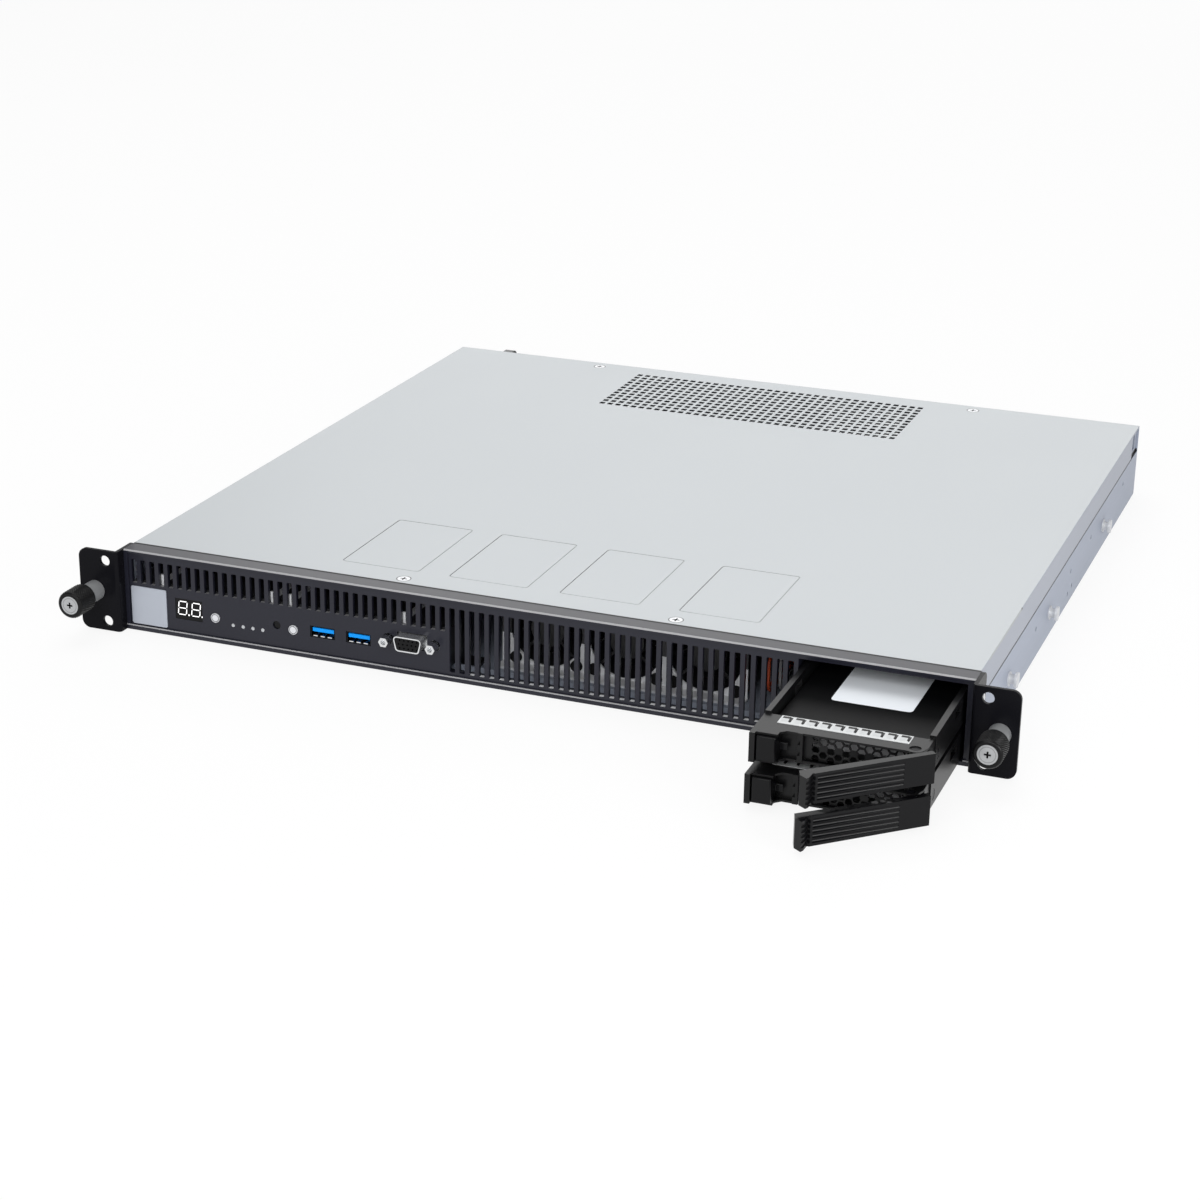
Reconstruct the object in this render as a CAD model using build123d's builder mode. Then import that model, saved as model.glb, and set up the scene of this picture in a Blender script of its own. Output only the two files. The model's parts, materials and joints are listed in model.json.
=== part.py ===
from build123d import *
import math
import os

# Shared frame: X to the right, Y to the rear, Z up, millimetres.
# Y = 0 is the seam between bezel and cover, Z = 0 the underside.

# Sheet metal and clearances
sheet = 1.2
cover_sheet = 1.0
cage_sheet = 1.1
seat_gap = 0.3
slip = 0.1
running = 0.05
hole_gap = 0.15
overrun = 3.0

# Chassis
half_width = 219.0
chassis_depth = 412.35
cover_top = 43.2
seam_z = 28.0
joggle_gap = 0.2
bend_radius = 1.5
front_lip_top = 5.4
front_flange_inner = 215.7
tab_reach = 6.0
tab_z = (6.0, 37.0)
ear_screw_z = (12.0, 31.0)
screw_radius = 1.5
screw_head_radius = 2.8
screw_head_height = 0.7

# Bezel
bezel_depth = 9.6
bezel_height = 43.0
bezel_recess = 1.2
bezel_face_wall = 2.4
bezel_side_wall = 2.0
rim_inner_x = 216.9
rim_z = (2.7, 41.3)
bezel_edge = 0.6
slot_width = 2.9
slot_pitch = 5.17
slot_start = -215.48
slot_corner = 0.35
short_slots = 34
long_slots = 34
short_slot_z = (25.2, 37.8)
long_slot_z = (4.4, 37.7)
bay_x = (135.9, 215.3)
bay_z = (2.0, 39.5)

# Ears and captive screws
ear_sheet = 2.0
ear_front = -16.0
ear_outer = 241.3
ear_leg_rear = 4.0
ear_corner = 4.5
ear_bend = 2.0
ear_hole_x = 226.3
ear_hole_z = (5.2, 37.6)
ear_hole_radius = 2.8
thumb_x = 232.55
thumb_z = 21.2
ferrule_radius = 5.3
ferrule_length = 10.0
ferrule_neck_radius = 3.6
ferrule_collar = 1.2
thumb_neck_radius = 2.4
thumb_thread_radius = 3.0
thumb_screw_tip = -5.0
knob_radius = 6.9
knob_front = -40.3
knob_edge = 0.7
thumb_face_radius = 4.7
thumb_face_depth = 2.0
cross_length = 3.2
cross_width = 0.9
cross_depth = 1.2

# Studs and holes on the sides
stud_y = (66.0, 161.0, 307.8)
stud_z = 14.3
stud_neck_radius = 2.4
stud_flange_radius = 3.6
stud_flange = 0.7
stud_neck = 2.6
stud_head_radius = 3.8
stud_head = 1.3
side_hole_radius = 1.3
side_holes = ((368.4, 20.3), (270.9, 19.4), (215.7, 18.3), (221.7, 8.35), (210.6, 7.1), (127.4, 17.5))

# Cover
cover_flange_rear = 391.0
cover_corner = 2.5
vent_columns = 37
vent_rows = 12
vent_pitch_x = 5.0
vent_pitch_y = 6.0
vent_cell_x = 3.2
vent_cell_y = 3.8
vent_centre = (0.0, 362.5)
outline_x = ((-110.2, -68.0), (-52.0, -10.0), (6.6, 48.0), (67.9, 108.5))
outline_y = (18.0, 86.0)
outline_corner = 2.0
outline_line = 0.5
outline_depth = 0.2
cover_screw_points = ((-70.8, 6.7), (70.8, 6.7), (-120.4, 404.0), (120.4, 404.0))
cover_screw_head_radius = 3.2
cover_screw_head = 0.6
cover_screw_length = 5.0
cover_cross = (3.6, 0.9)
cover_cross_depth = 0.45
rail_y = (1.5, 13.0)
rail_flange_bottom = 38.6
rear_flange_front = 398.0

# Badge, display and buttons
badge_x = (-216.0, -195.9)
badge_z = (3.5, 23.7)
badge_sheet = 0.6
badge_corner = 1.0
display_x = (-191.1, -175.7)
display_z = (9.4, 20.5)
display_y = (-8.2, -3.1)
button_radius = 2.4
reset_radius = 2.0
button_stem_gap = 0.15
button_rear = -5.1
button_flange = 0.8
button_flange_extra = 0.8
power_point = (-168.2, 13.1)
location_point = (-124.5, 13.4)
reset_point = (-133.8, 14.4)
button_proud = 0.6
reset_sunk = 0.8
led_x = (-158.35, -152.7, -147.2, -141.7)
led_z = 10.5
led_radius = 0.9
led_rear = -3.2

# Front board
board_thickness = 1.6
panel_board_x = (-206.0, -44.0)
panel_board_y = (-3.0, 14.0)
panel_board_top = 11.4
switch_depth = 4.0
switch_height = 5.0
switch_width = 6.0
switch_front = -2.9
post_radius = 2.6
panel_post_x = (-200.0, -120.0, -90.0, -50.0)
panel_post_y = 9.0
bracket_x = (-215.4, -40.7)
bracket_y = (-5.7, 20.0)
bracket_top = 26.1
bracket_foot = 9.0
bracket_foot_front = 3.0
bracket_tab_x = (-200.5, -138.9, -128.6, -66.3)
bracket_tab_width = 4.0
bracket_tab_top = 30.7

# Front sockets
usb_x = ((-115.1, -101.7), (-95.4, -82.1))
usb_height = 5.7
usb_y = (-7.9, 5.5)
usb_sheet = 0.4
usb_tongue_z = (14.0, 15.9)
usb_tongue_front = -7.4
usb_tongue_inset = 1.0
usb_back = 2.4
vga_centre = (-59.65, 17.35)
vga_size = (15.5, 7.7)
vga_taper = 1.6
vga_corner = 1.9
vga_front = -14.4
vga_sheet = 0.6
vga_flange = (30.4, 12.0)
vga_flange_y = (-5.9, -5.1)
vga_body_rear = 6.0
vga_body_width = 18.0
vga_pin_radius = 0.45
vga_pin_depth = 2.0
vga_pin_pitch = (2.3, 2.0)
jack_x = (-72.5, -47.6)
jack_z = 16.8
jack_radius = 2.6
jack_bore = 1.3
jack_bore_depth = 4.0
jack_shank_radius = 1.3
jack_shank_rear = -3.6

# Fans
fan_x = (-0.6, 40.8, 81.5)
fan_z = 21.5
fan_front = 22.0
fan_size = 40.0
fan_depth = 28.0
fan_bore = 18.8
fan_hole_offset = 16.0
fan_hole_radius = 2.0
fan_corner = 2.5
fan_hub_radius = 8.8
fan_hub_front = 3.0
fan_spoke = 1.3
fan_bearing_radius = 1.55
rotor_gap = 0.6
rotor_rear_gap = 2.0
rotor_cap_radius = 9.2
blade_tip = 18.1
blade_count = 7
blade_root_angle = 52.0
blade_tip_angle = 68.0
blade_thickness = 0.9
blade_chord = 13.0
fan_plate_x = (-24.0, 103.0)
fan_plate_y = (20.6, 21.8)
fan_plate_top = 41.0
fan_plate_foot = 8.0
mount_radius = 3.0
mount_disc = 1.3
mount_pin_radius = 1.7
mount_pin_length = 9.0

# Drive bay
cage_rear = 103.5
shelf_top = 20.2
cage_ceiling = 36.0
backplane_y = (100.2, 101.8)
backplane_socket_y = (94.8, 100.2)

# Drive trays
tray_x = (137.2, 214.2)
tray_fronts = (-86.0, -90.5)
tray_bottoms = (20.5, 2.6)
tray_length = 121.5
tray_height = 14.0
tray_rail_top = 15.2
tray_plate = 1.0
tray_plate_depth = 23.0
tray_column = 2.6
tray_plate_right = 213.5
tray_block_line = (149.6, 2.0)
tray_nose_line = (149.6, 4.9)
tray_front_line = (152.2, 7.5)
rail_left = 2.7
rail_right = 2.9
rail_front = 24.5
pivot_offset = 11.2
pivot_x = 208.3
pivot_eye_radius = 4.3
pivot_sink_radius = 2.6
pivot_sink_depth = 0.5
pin_radius = 2.0
tray_wall_y = (9.8, 10.8)
tray_wall_right = 160.8
mesh_right = 204.4
catch_x = (157.0, 159.5)
catch_front = 7.0
catch_notch_z = ((3.4, 5.6), (8.4, 10.6))
tray_stop_y = (19.0, 19.9)
tray_stop_height = 3.2
ledge_width = 3.6
ledge_height = 2.2
rear_bar = 8.0
tray_slot_y = (60.0, 71.0)
tray_slot_z = (8.2, 12.2)
honeycomb_pitch = 3.95
honeycomb_hole = 3.2
honeycomb_start = 164.6
honeycomb_columns = 12
honeycomb_bands = (4.1, 10.2)
drive_x = (140.8, 210.6)
drive_front = 20.0
drive_length = 100.2
drive_height = 7.0
drive_corner = 2.0
drive_socket_x = (158.0, 193.0)
drive_socket_depth = 5.2
drive_socket_height = 4.4
drive_screw_y = (29.6, 106.2)
drive_screw_z = 5.2
drive_screw_radius = 1.4
drive_screw_head_radius = 2.5
drive_screw_head = 1.2
drive_screw_grip = 3.5
block_x = (140.3, 149.3)
block_depth = 7.9
block_edge = 0.6
hook_x = 152.9
hook_z = (5.0, 8.5)
hook_y = (6.9, 7.9)
strip_x = (145.4, 204.7)
strip_y = (14.3, 22.7)
strip_sheet = 0.2
finger_count = 10
finger_width = 3.6
finger_length = 4.4
finger_rise = 0.7
finger_side_gap = 0.7
finger_end_gap = 0.9

# Lever, in its own frame: u along the bar, n to the front
lever_angle = 41.4
lever_bar = (
    (5.9, 4.6),
    (5.9, 7.7),
    (-51.5, 9.6),
    (-52.3, 9.0),
    (-55.5, 12.3),
    (-57.2, 13.1),
    (-58.3, 8.8),
    (-56.7, 4.6),
)
lever_hub_radius = 3.4
lever_web = (-3.0, 3.0)
lever_web_reach = 4.9
lever_groove_radius = 1.0
lever_groove_count = 5
lever_groove_start = (-50.2, 9.5)
lever_groove_end = (-9.0, 8.95)
grip_start = (-51.6, 9.2)
grip_end = (-60.0, 16.6)
grip_groove_radius = 0.95

# Mainboard and what it carries
mainboard_x = (-92.0, 152.8)
mainboard_y = (164.0, 408.0)
mainboard_bottom = 6.2
board_posts_x = (-85.0, 20.0, 146.0)
board_posts_y = (171.0, 300.0, 396.0)
board_screw_radius = 3.0
board_screw_head = 1.8
board_screw_length = 4.0
socket_x = (-14.0, 44.0)
socket_y = (214.0, 286.0)
socket_height = 6.0
sink_x = (-26.0, 56.0)
sink_y = (206.0, 294.0)
sink_base = 4.0
sink_top = 40.0
sink_fin = 0.8
sink_fin_count = 20
memory_x = (-74.0, -65.0, -56.0, -47.0)
memory_y = (176.0, 310.0)
memory_socket_width = 6.5
memory_socket_height = 9.0
memory_sheet = 1.3
memory_seat = 2.3
memory_height = 31.2

# Rear side
network_x = (-60.0, -40.0, -20.0)
network_size = (16.0, 13.4)
network_depth = 21.0
network_cavity = (11.9, 7.0)
network_cavity_depth = 13.0
network_latch = (6.0, 2.2)
usb_stack_x = (3.0, 16.1)
usb_stack_height = 15.6
usb_stack_depth = 17.5
usb_stack_sheet = 0.5
usb_stack_tongue = 1.9
rear_cut_gap = 0.3
rear_vent_x = 30.0
rear_vent_count = 8
rear_vent_pitch = 6.0
rear_vent_width = 3.0
rear_vent_z = (12.0, 34.0)
blank_x = (88.0, 204.0)
blank_z = (21.0, 39.4)
blank_sheet = 0.9
expansion_x = (92.0, 200.0)
expansion_z = (24.0, 37.0)
corner_cut_x = (206.5, 213.5)
corner_cut_z = (24.0, 39.0)
side_cut_y = (393.0, 406.0)
side_cut_z = (31.0, 40.0)

# Power supply
supply_x = (-214.5, -141.0)
supply_y = (226.0, 412.35)
supply_z = (1.5, 40.4)
supply_wall = 1.0
supply_fan_x = -164.0
supply_fan_z = 20.9
supply_fan_bore = 17.6
supply_fan_pocket = 16.0
supply_hub_radius = 8.4
supply_blade_tip = 16.9
supply_rotor_length = 11.0
supply_rotor_front = 398.0
guard_rings = (4.0, 9.0, 14.0, 18.6)
guard_wire = 1.2
guard_sheet = 1.0
inlet_x = (-211.8, -184.4)
inlet_z = (13.0, 33.0)
inlet_depth = 22.0
inlet_cavity = (24.4, 16.4)
inlet_cavity_depth = 18.5
inlet_corner = 3.5
inlet_pins = ((-7.0, -2.0), (0.0, 2.0), (7.0, -2.0))
inlet_pin = (2.0, 4.0)
inlet_pin_length = 13.5
handle_x = (-197.0, -191.0)
handle_y = (412.35, 437.0)
handle_z = (4.0, 38.6)
handle_wall = 5.0
handle_corner = 5.0

# Wires
wire_radius = 0.8
wire_bend = 6.0
wire_level = 11.4
wire_start = (101.5, 40.0, 31.0)
wire_front_y = 8.0
plug_y = (166.0, 174.0)
plug_x = (112.0, 124.0)
plug_height = 6.5
wire_spacing = 2.2
supply_wire_radius = 3.6
supply_wire_bend = 12.0
supply_wire_z = 15.0
supply_wire_turn = 198.0
supply_plug_x = (-91.0, -80.0)
supply_plug_half = 7.0
supply_plug_height = 14.0

# Values that follow from the sizes above
floor_top = sheet
cover_under = cover_top - cover_sheet
wall_top = cover_under - seat_gap
upper_wall_outer = half_width - cover_sheet - joggle_gap
upper_wall_inner = upper_wall_outer - sheet
face_front = -bezel_depth + bezel_recess
face_rear = face_front + bezel_face_wall
tray_glide = tray_bottoms[1] - seat_gap
cage_x = (tray_x[0] - seat_gap - cage_sheet, tray_x[1] + seat_gap + cage_sheet)
mainboard_top = mainboard_bottom + board_thickness
fan_rear = fan_front + fan_depth
board_seat = panel_board_top - board_thickness
rail_z = (rail_flange_bottom, wall_top)
sides = (-1, 1)


def block(x, y, z, mode=Mode.ADD):
    """Add or cut a box between three spans."""
    with Locations((sum(x) / 2, sum(y) / 2, sum(z) / 2)):
        Box(x[1] - x[0], y[1] - y[0], z[1] - z[0], mode=mode)


def rod_y(point, span, radius, mode=Mode.ADD):
    """Add or cut a cylinder along Y at an (x, z) point."""
    with Locations(Location((point[0], sum(span) / 2, point[1]), (90, 0, 0))):
        Cylinder(radius, span[1] - span[0], mode=mode)


def rod_x(point, span, radius, mode=Mode.ADD):
    """Add or cut a cylinder along X at a (y, z) point."""
    with Locations(Location((sum(span) / 2, point[0], point[1]), (0, 90, 0))):
        Cylinder(radius, span[1] - span[0], mode=mode)


def rod_z(point, span, radius, mode=Mode.ADD):
    """Add or cut a cylinder along Z at an (x, y) point."""
    with Locations((point[0], point[1], sum(span) / 2)):
        Cylinder(radius, span[1] - span[0], mode=mode)


def on_side(span, side):
    """A span on the right side, turned over for the left one."""
    return tuple(sorted((span[0] * side, span[1] * side)))


def around(centre, size):
    """The span of a size round its centre."""
    return (centre - size / 2, centre + size / 2)


def grown(span, gap):
    """A span made larger at both ends."""
    return (span[0] - gap, span[1] + gap)


def front_plane(y):
    """A plane seen from the front: its x is X, its y is Z."""
    return Plane(origin=(0, y, 0), x_dir=(1, 0, 0), z_dir=(0, -1, 0))


def outline(plane, centre, size, corner=0):
    """A closed rectangular wire on a plane, with bevelled corners if asked."""
    wide, high = size[0] / 2, size[1] / 2
    ring = ((-wide, -high), (wide, -high), (wide, high), (-wide, high))
    if corner:
        ring = (
            (-wide + corner, -high),
            (wide - corner, -high),
            (wide, -high + corner),
            (wide, high - corner),
            (wide - corner, high),
            (-wide + corner, high),
            (-wide, high - corner),
            (-wide, -high + corner),
        )
    points = [plane.from_local_coords(Vector(centre[0] + u, centre[1] + v, 0)) for u, v in ring]
    return Wire.make_polygon(points, close=True)


def hexagon(plane, centre):
    """A closed honeycomb cell on a plane, two of its sides level."""
    reach = honeycomb_hole / (2 * math.cos(math.radians(30)))
    turns = [math.radians(60 * step) for step in range(6)]
    ring = [(centre[0] + reach * math.cos(turn), centre[1] + reach * math.sin(turn)) for turn in turns]
    return Wire.make_polygon([plane.from_local_coords(Vector(u, v, 0)) for u, v in ring], close=True)


pieces = {}


def group(*parts):
    """Several finished pieces as one part with separate solids."""
    return Part([solid for part in parts for solid in part.solids()])


def keep(name, part):
    """Label a finished piece and collect it for the export."""
    part.label = name
    pieces[name] = part


# Base pan: floor, joggled side walls, front lip and rear wall
with BuildPart() as base_pan:
    block((-half_width, half_width), (0, chassis_depth), (0, floor_top))
    for side in sides:
        block(on_side((half_width - sheet, half_width), side), (0, chassis_depth), (0, seam_z))
        block(on_side((upper_wall_inner, half_width), side), (0, chassis_depth), (seam_z - sheet, seam_z))
        upper_wall_x = on_side((upper_wall_inner, upper_wall_outer), side)
        block(upper_wall_x, (0, chassis_depth), (seam_z - sheet, wall_top))
        block(on_side((front_flange_inner, half_width), side), (0, sheet), (0, seam_z))
        block(on_side((front_flange_inner, upper_wall_outer), side), (0, sheet), (0, wall_top))
        block(on_side((front_flange_inner, front_flange_inner + sheet), side), (-tab_reach, sheet), tab_z)
    block((-half_width, half_width), (0, sheet), (0, front_lip_top))
    block(grown(bay_x, slip), (-slip, sheet + slip), (bay_z[0], front_lip_top + slip), Mode.SUBTRACT)
    block((-half_width, half_width), (chassis_depth - sheet, chassis_depth), (0, wall_top))
    block((-upper_wall_inner, upper_wall_inner), (rear_flange_front, chassis_depth), (wall_top - sheet, wall_top))
    lower_edges = base_pan.edges().filter_by(Axis.Y).group_by(Axis.Z)[0]
    fillet([edge for edge in lower_edges if abs(edge.center().X) > upper_wall_inner], bend_radius)
    for side in sides:
        wall_span = on_side((upper_wall_inner, half_width + overrun), side)
        for hole in side_holes:
            rod_x(hole, wall_span, side_hole_radius, Mode.SUBTRACT)
        for y in stud_y:
            rod_x((y, stud_z), wall_span, stud_neck_radius, Mode.SUBTRACT)
        block(on_side((upper_wall_inner - slip, half_width), side), side_cut_y, side_cut_z, Mode.SUBTRACT)
        tab_span = on_side((front_flange_inner - slip, half_width), side)
        for z in ear_screw_z:
            rod_x((-tab_reach / 2, z), tab_span, screw_radius, Mode.SUBTRACT)
    rear_span = (chassis_depth - sheet - slip, chassis_depth + overrun)
    block(grown(supply_x, rear_cut_gap), rear_span, grown(supply_z, rear_cut_gap / 2), Mode.SUBTRACT)
    network_z = grown((mainboard_top, mainboard_top + network_size[1]), rear_cut_gap)
    for x in network_x:
        block(grown(around(x, network_size[0]), rear_cut_gap), rear_span, network_z, Mode.SUBTRACT)
    stack_z = (mainboard_top, mainboard_top + usb_stack_height)
    block(grown(usb_stack_x, rear_cut_gap), rear_span, grown(stack_z, rear_cut_gap), Mode.SUBTRACT)
    for index in range(rear_vent_count):
        vent_x = around(rear_vent_x + index * rear_vent_pitch, rear_vent_width)
        block(vent_x, rear_span, rear_vent_z, Mode.SUBTRACT)
    block(expansion_x, rear_span, expansion_z, Mode.SUBTRACT)
    block(corner_cut_x, rear_span, corner_cut_z, Mode.SUBTRACT)
    for x, y in cover_screw_points:
        if y > rear_flange_front:
            rod_z((x, y), (cover_top - cover_screw_length - overrun, cover_top), screw_radius, Mode.SUBTRACT)
keep("base_pan", base_pan.part)

# Top cover: plate, side flanges, outlines, perforated field
cover_plan = Plane.XY.offset(cover_under)
vent_size = (vent_cell_x, vent_cell_y)
vent_grid = GridLocations(vent_pitch_x, vent_pitch_y, vent_columns, vent_rows)
vent_points = [(vent_centre[0] + place.position.X, vent_centre[1] + place.position.Y) for place in vent_grid]
vent_wires = [outline(cover_plan, point, vent_size) for point in vent_points]
field_size = (vent_columns * vent_pitch_x, vent_rows * vent_pitch_y)
field_wire = outline(cover_plan, vent_centre, field_size)

with BuildPart() as top_cover:
    block((-half_width, half_width), (seat_gap, chassis_depth), (cover_under, cover_top))
    for side in sides:
        flange_z = (seam_z + seat_gap, cover_top)
        block(on_side((half_width - cover_sheet, half_width), side), (seat_gap, cover_flange_rear), flange_z)
    front_corners = top_cover.edges().filter_by(Axis.Z).group_by(Axis.Y)[0]
    fillet([edge for edge in front_corners if abs(edge.center().X) > half_width - slip], cover_sheet / 2)
    top_edges = top_cover.edges().filter_by(Axis.Y).group_by(Axis.Z)[-1]
    fillet(top_edges, cover_sheet / 2)
    with BuildSketch(Plane.XY.offset(cover_top)):
        for span in outline_x:
            with Locations((sum(span) / 2, sum(outline_y) / 2)):
                outer = (span[1] - span[0], outline_y[1] - outline_y[0])
                RectangleRounded(*outer, outline_corner)
                inner = (outer[0] - 2 * outline_line, outer[1] - 2 * outline_line)
                RectangleRounded(*inner, outline_corner - outline_line, mode=Mode.SUBTRACT)
    extrude(amount=-outline_depth, mode=Mode.SUBTRACT)
    field_x, field_y = around(vent_centre[0], field_size[0]), around(vent_centre[1], field_size[1])
    block(field_x, field_y, (cover_under - slip, cover_top + slip), Mode.SUBTRACT)
    for point in cover_screw_points:
        head_floor = cover_top - cover_screw_head
        rod_z(point, (head_floor, cover_top), cover_screw_head_radius + slip, Mode.SUBTRACT)
        rod_z(point, (cover_under - slip, cover_top), screw_radius + hole_gap, Mode.SUBTRACT)
    extrude(Face(field_wire, vent_wires), amount=cover_sheet)
keep("top_cover", top_cover.part)

# Cross rail under the front edge of the cover
with BuildPart() as cross_rail:
    rail_x = (-upper_wall_inner + slip, upper_wall_inner - slip)
    block(rail_x, rail_y, (wall_top - sheet, wall_top))
    block(rail_x, (rail_y[0], rail_y[0] + sheet), rail_z)
    for x, y in cover_screw_points:
        if y < rail_y[1]:
            rod_z((x, y), (rail_z[0], cover_top), screw_radius, Mode.SUBTRACT)
keep("cross_rail", cross_rail.part)

with BuildPart() as cover_screws:
    for point in cover_screw_points:
        rod_z(point, (cover_top - cover_screw_head, cover_top), cover_screw_head_radius)
        rod_z(point, (cover_top - cover_screw_length, cover_top - cover_screw_head), screw_radius - running)
        cut_z = (cover_top - cover_cross_depth, cover_top + slip)
        for wide, deep in (cover_cross, reversed(cover_cross)):
            block(around(point[0], wide), around(point[1], deep), cut_z, Mode.SUBTRACT)

# Bezel: moulded frame, recessed face with vent slots, bay opening
slot_faces = []
for index in range(short_slots + long_slots):
    slot_z = short_slot_z if index < short_slots else long_slot_z
    slot_centre = (slot_start + index * slot_pitch + slot_width / 2, sum(slot_z) / 2)
    slot_size = (slot_width, slot_z[1] - slot_z[0])
    slot_faces.append(Face(outline(front_plane(face_front), slot_centre, slot_size, slot_corner)))

with BuildPart() as front_bezel:
    block((-half_width, half_width), (-bezel_depth, 0), (0, bezel_height))
    top_front = front_bezel.edges().filter_by(Axis.X).group_by(Axis.Z)[-1].group_by(Axis.Y)[0]
    chamfer(top_front, bezel_edge)
    block((-rim_inner_x, rim_inner_x), (-bezel_depth - overrun, face_front), rim_z, Mode.SUBTRACT)
    pocket_x = half_width - bezel_side_wall
    block((-pocket_x, bay_x[0] - bezel_side_wall), (face_rear, overrun), rim_z, Mode.SUBTRACT)
    block((front_flange_inner - 2 * slip, pocket_x), (face_rear, overrun), rim_z, Mode.SUBTRACT)
    block(bay_x, (-bezel_depth - overrun, overrun), bay_z, Mode.SUBTRACT)
    extrude(slot_faces, amount=-bezel_face_wall - slip, mode=Mode.SUBTRACT)
    face_span = (face_front - slip, face_rear + slip)
    block(display_x, face_span, display_z, Mode.SUBTRACT)
    for point in (power_point, location_point):
        rod_y(point, face_span, button_radius + button_stem_gap, Mode.SUBTRACT)
    rod_y(reset_point, face_span, reset_radius + button_stem_gap, Mode.SUBTRACT)
    for x in led_x:
        rod_y((x, led_z), face_span, led_radius + running, Mode.SUBTRACT)
    for span in usb_x:
        usb_z = (panel_board_top, panel_board_top + usb_height)
        block(grown(span, hole_gap), face_span, grown(usb_z, hole_gap), Mode.SUBTRACT)
    for x in jack_x:
        rod_y((x, jack_z), face_span, jack_radius + seat_gap, Mode.SUBTRACT)
    with BuildSketch(front_plane(face_front)):
        with Locations(vga_centre):
            Rectangle(vga_size[0] + 2 * seat_gap, vga_size[1] + 2 * seat_gap)
    extrude(amount=-bezel_face_wall - slip, mode=Mode.SUBTRACT)
    for side in sides:
        for z in ear_screw_z:
            hole_span = on_side((pocket_x - overrun, half_width + overrun), side)
            rod_x((-tab_reach / 2, z), hole_span, screw_radius + hole_gap, Mode.SUBTRACT)
keep("front_bezel", front_bezel.part)


def ear(side):
    """A rack ear: flat plate, bend and leg along the chassis side."""
    plate_x = on_side((half_width, ear_outer), side)
    with BuildPart() as body:
        block(plate_x, (ear_front, ear_front + ear_sheet), (0, bezel_height))
        outer_edges = body.edges().filter_by(Axis.Y).group_by(Axis.X)[-1 if side > 0 else 0]
        fillet(outer_edges, ear_corner)
        leg_x = on_side((half_width, half_width + ear_sheet), side)
        block(leg_x, (ear_front, ear_leg_rear), (0, bezel_height))
        leg_edges = body.edges().filter_by(Axis.X).group_by(Axis.Y)[-1]
        fillet(leg_edges, ear_corner)
        bend_edges = body.edges().filter_by(Axis.Z).group_by(Axis.X)[0 if side > 0 else -1]
        fillet(bend_edges.group_by(Axis.Y)[0], ear_bend)
        for z in ear_hole_z:
            hole_y = (ear_front - slip, ear_front + ear_sheet + slip)
            rod_y((side * ear_hole_x, z), hole_y, ear_hole_radius, Mode.SUBTRACT)
        rod_y((side * thumb_x, thumb_z), hole_y, ferrule_neck_radius, Mode.SUBTRACT)
        for z in ear_screw_z:
            leg_span = on_side((half_width - slip, half_width + overrun), side)
            rod_x((-tab_reach / 2, z), leg_span, screw_radius + hole_gap, Mode.SUBTRACT)
    return body.part


keep("left_ear", ear(-1))
keep("right_ear", ear(1))

with BuildPart() as ear_screws:
    for side in sides:
        for z in ear_screw_z:
            head_x = (half_width + ear_sheet, half_width + ear_sheet + screw_head_height)
            rod_x((-tab_reach / 2, z), on_side(head_x, side), screw_head_radius)
            shank_x = (front_flange_inner, half_width + ear_sheet)
            rod_x((-tab_reach / 2, z), on_side(shank_x, side), screw_radius - running)

# Captive thumbscrews
with BuildPart() as thumb_ferrules:
    for side in sides:
        point = (side * thumb_x, thumb_z)
        rear = ear_front + ear_sheet
        rod_y(point, (ear_front - ferrule_length, ear_front), ferrule_radius)
        rod_y(point, (ear_front, rear), ferrule_neck_radius)
        rod_y(point, (rear, rear + ferrule_collar), ferrule_radius)
        bore_span = (ear_front - ferrule_length, rear + ferrule_collar)
        rod_y(point, bore_span, thumb_neck_radius + running, Mode.SUBTRACT)
keep("thumb_ferrules", thumb_ferrules.part)


def knob(side):
    """The black sleeve of a thumbscrew."""
    point = (side * thumb_x, thumb_z)
    span = (knob_front, ear_front - ferrule_length - seat_gap)
    with BuildPart() as body:
        rod_y(point, span, knob_radius)
        chamfer(body.edges().filter_by(GeomType.CIRCLE), knob_edge)
        rod_y(point, span, thumb_neck_radius, Mode.SUBTRACT)
        rod_y(point, (knob_front, knob_front + thumb_face_depth), thumb_face_radius, Mode.SUBTRACT)
    return body.part


def captive_screw(side):
    """The silver screw of a thumbscrew with its cross recess."""
    point = (side * thumb_x, thumb_z)
    with BuildPart() as body:
        rod_y(point, (knob_front, knob_front + thumb_face_depth), thumb_face_radius)
        rod_y(point, (knob_front + thumb_face_depth, thumb_screw_tip), thumb_neck_radius)
        thread_front = ear_front + ear_sheet + ferrule_collar + seat_gap
        rod_y(point, (thread_front, thumb_screw_tip), thumb_thread_radius)
        cross_y = (knob_front - slip, knob_front + cross_depth)
        block(around(point[0], cross_length), cross_y, around(thumb_z, cross_width), Mode.SUBTRACT)
        block(around(point[0], cross_width), cross_y, around(thumb_z, cross_length), Mode.SUBTRACT)
    return body.part


for side, word in ((-1, "left"), (1, "right")):
    keep(word + "_knob", knob(side))
    keep(word + "_captive_screw", captive_screw(side))

# Headed studs for the rack rails
with BuildPart() as rail_studs:
    for side in sides:
        for y in stud_y:
            base = half_width
            neck = base + stud_flange + stud_neck
            rod_x((y, stud_z), on_side((base - sheet, base), side), stud_neck_radius)
            rod_x((y, stud_z), on_side((base, base + stud_flange), side), stud_flange_radius)
            rod_x((y, stud_z), on_side((base, neck), side), stud_neck_radius)
            rod_x((y, stud_z), on_side((neck, neck + stud_head), side), stud_head_radius)
keep("rail_studs", rail_studs.part)

# Badge, display, lenses and buttons
with BuildPart() as badge_plate:
    block(badge_x, (face_front - badge_sheet, face_front), badge_z)
    fillet(badge_plate.edges().filter_by(Axis.Y), badge_corner)
keep("badge_plate", badge_plate.part)

with BuildPart() as display_module:
    block(grown(display_x, -slip), display_y, grown(display_z, -slip))
keep("display_module", display_module.part)

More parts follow.
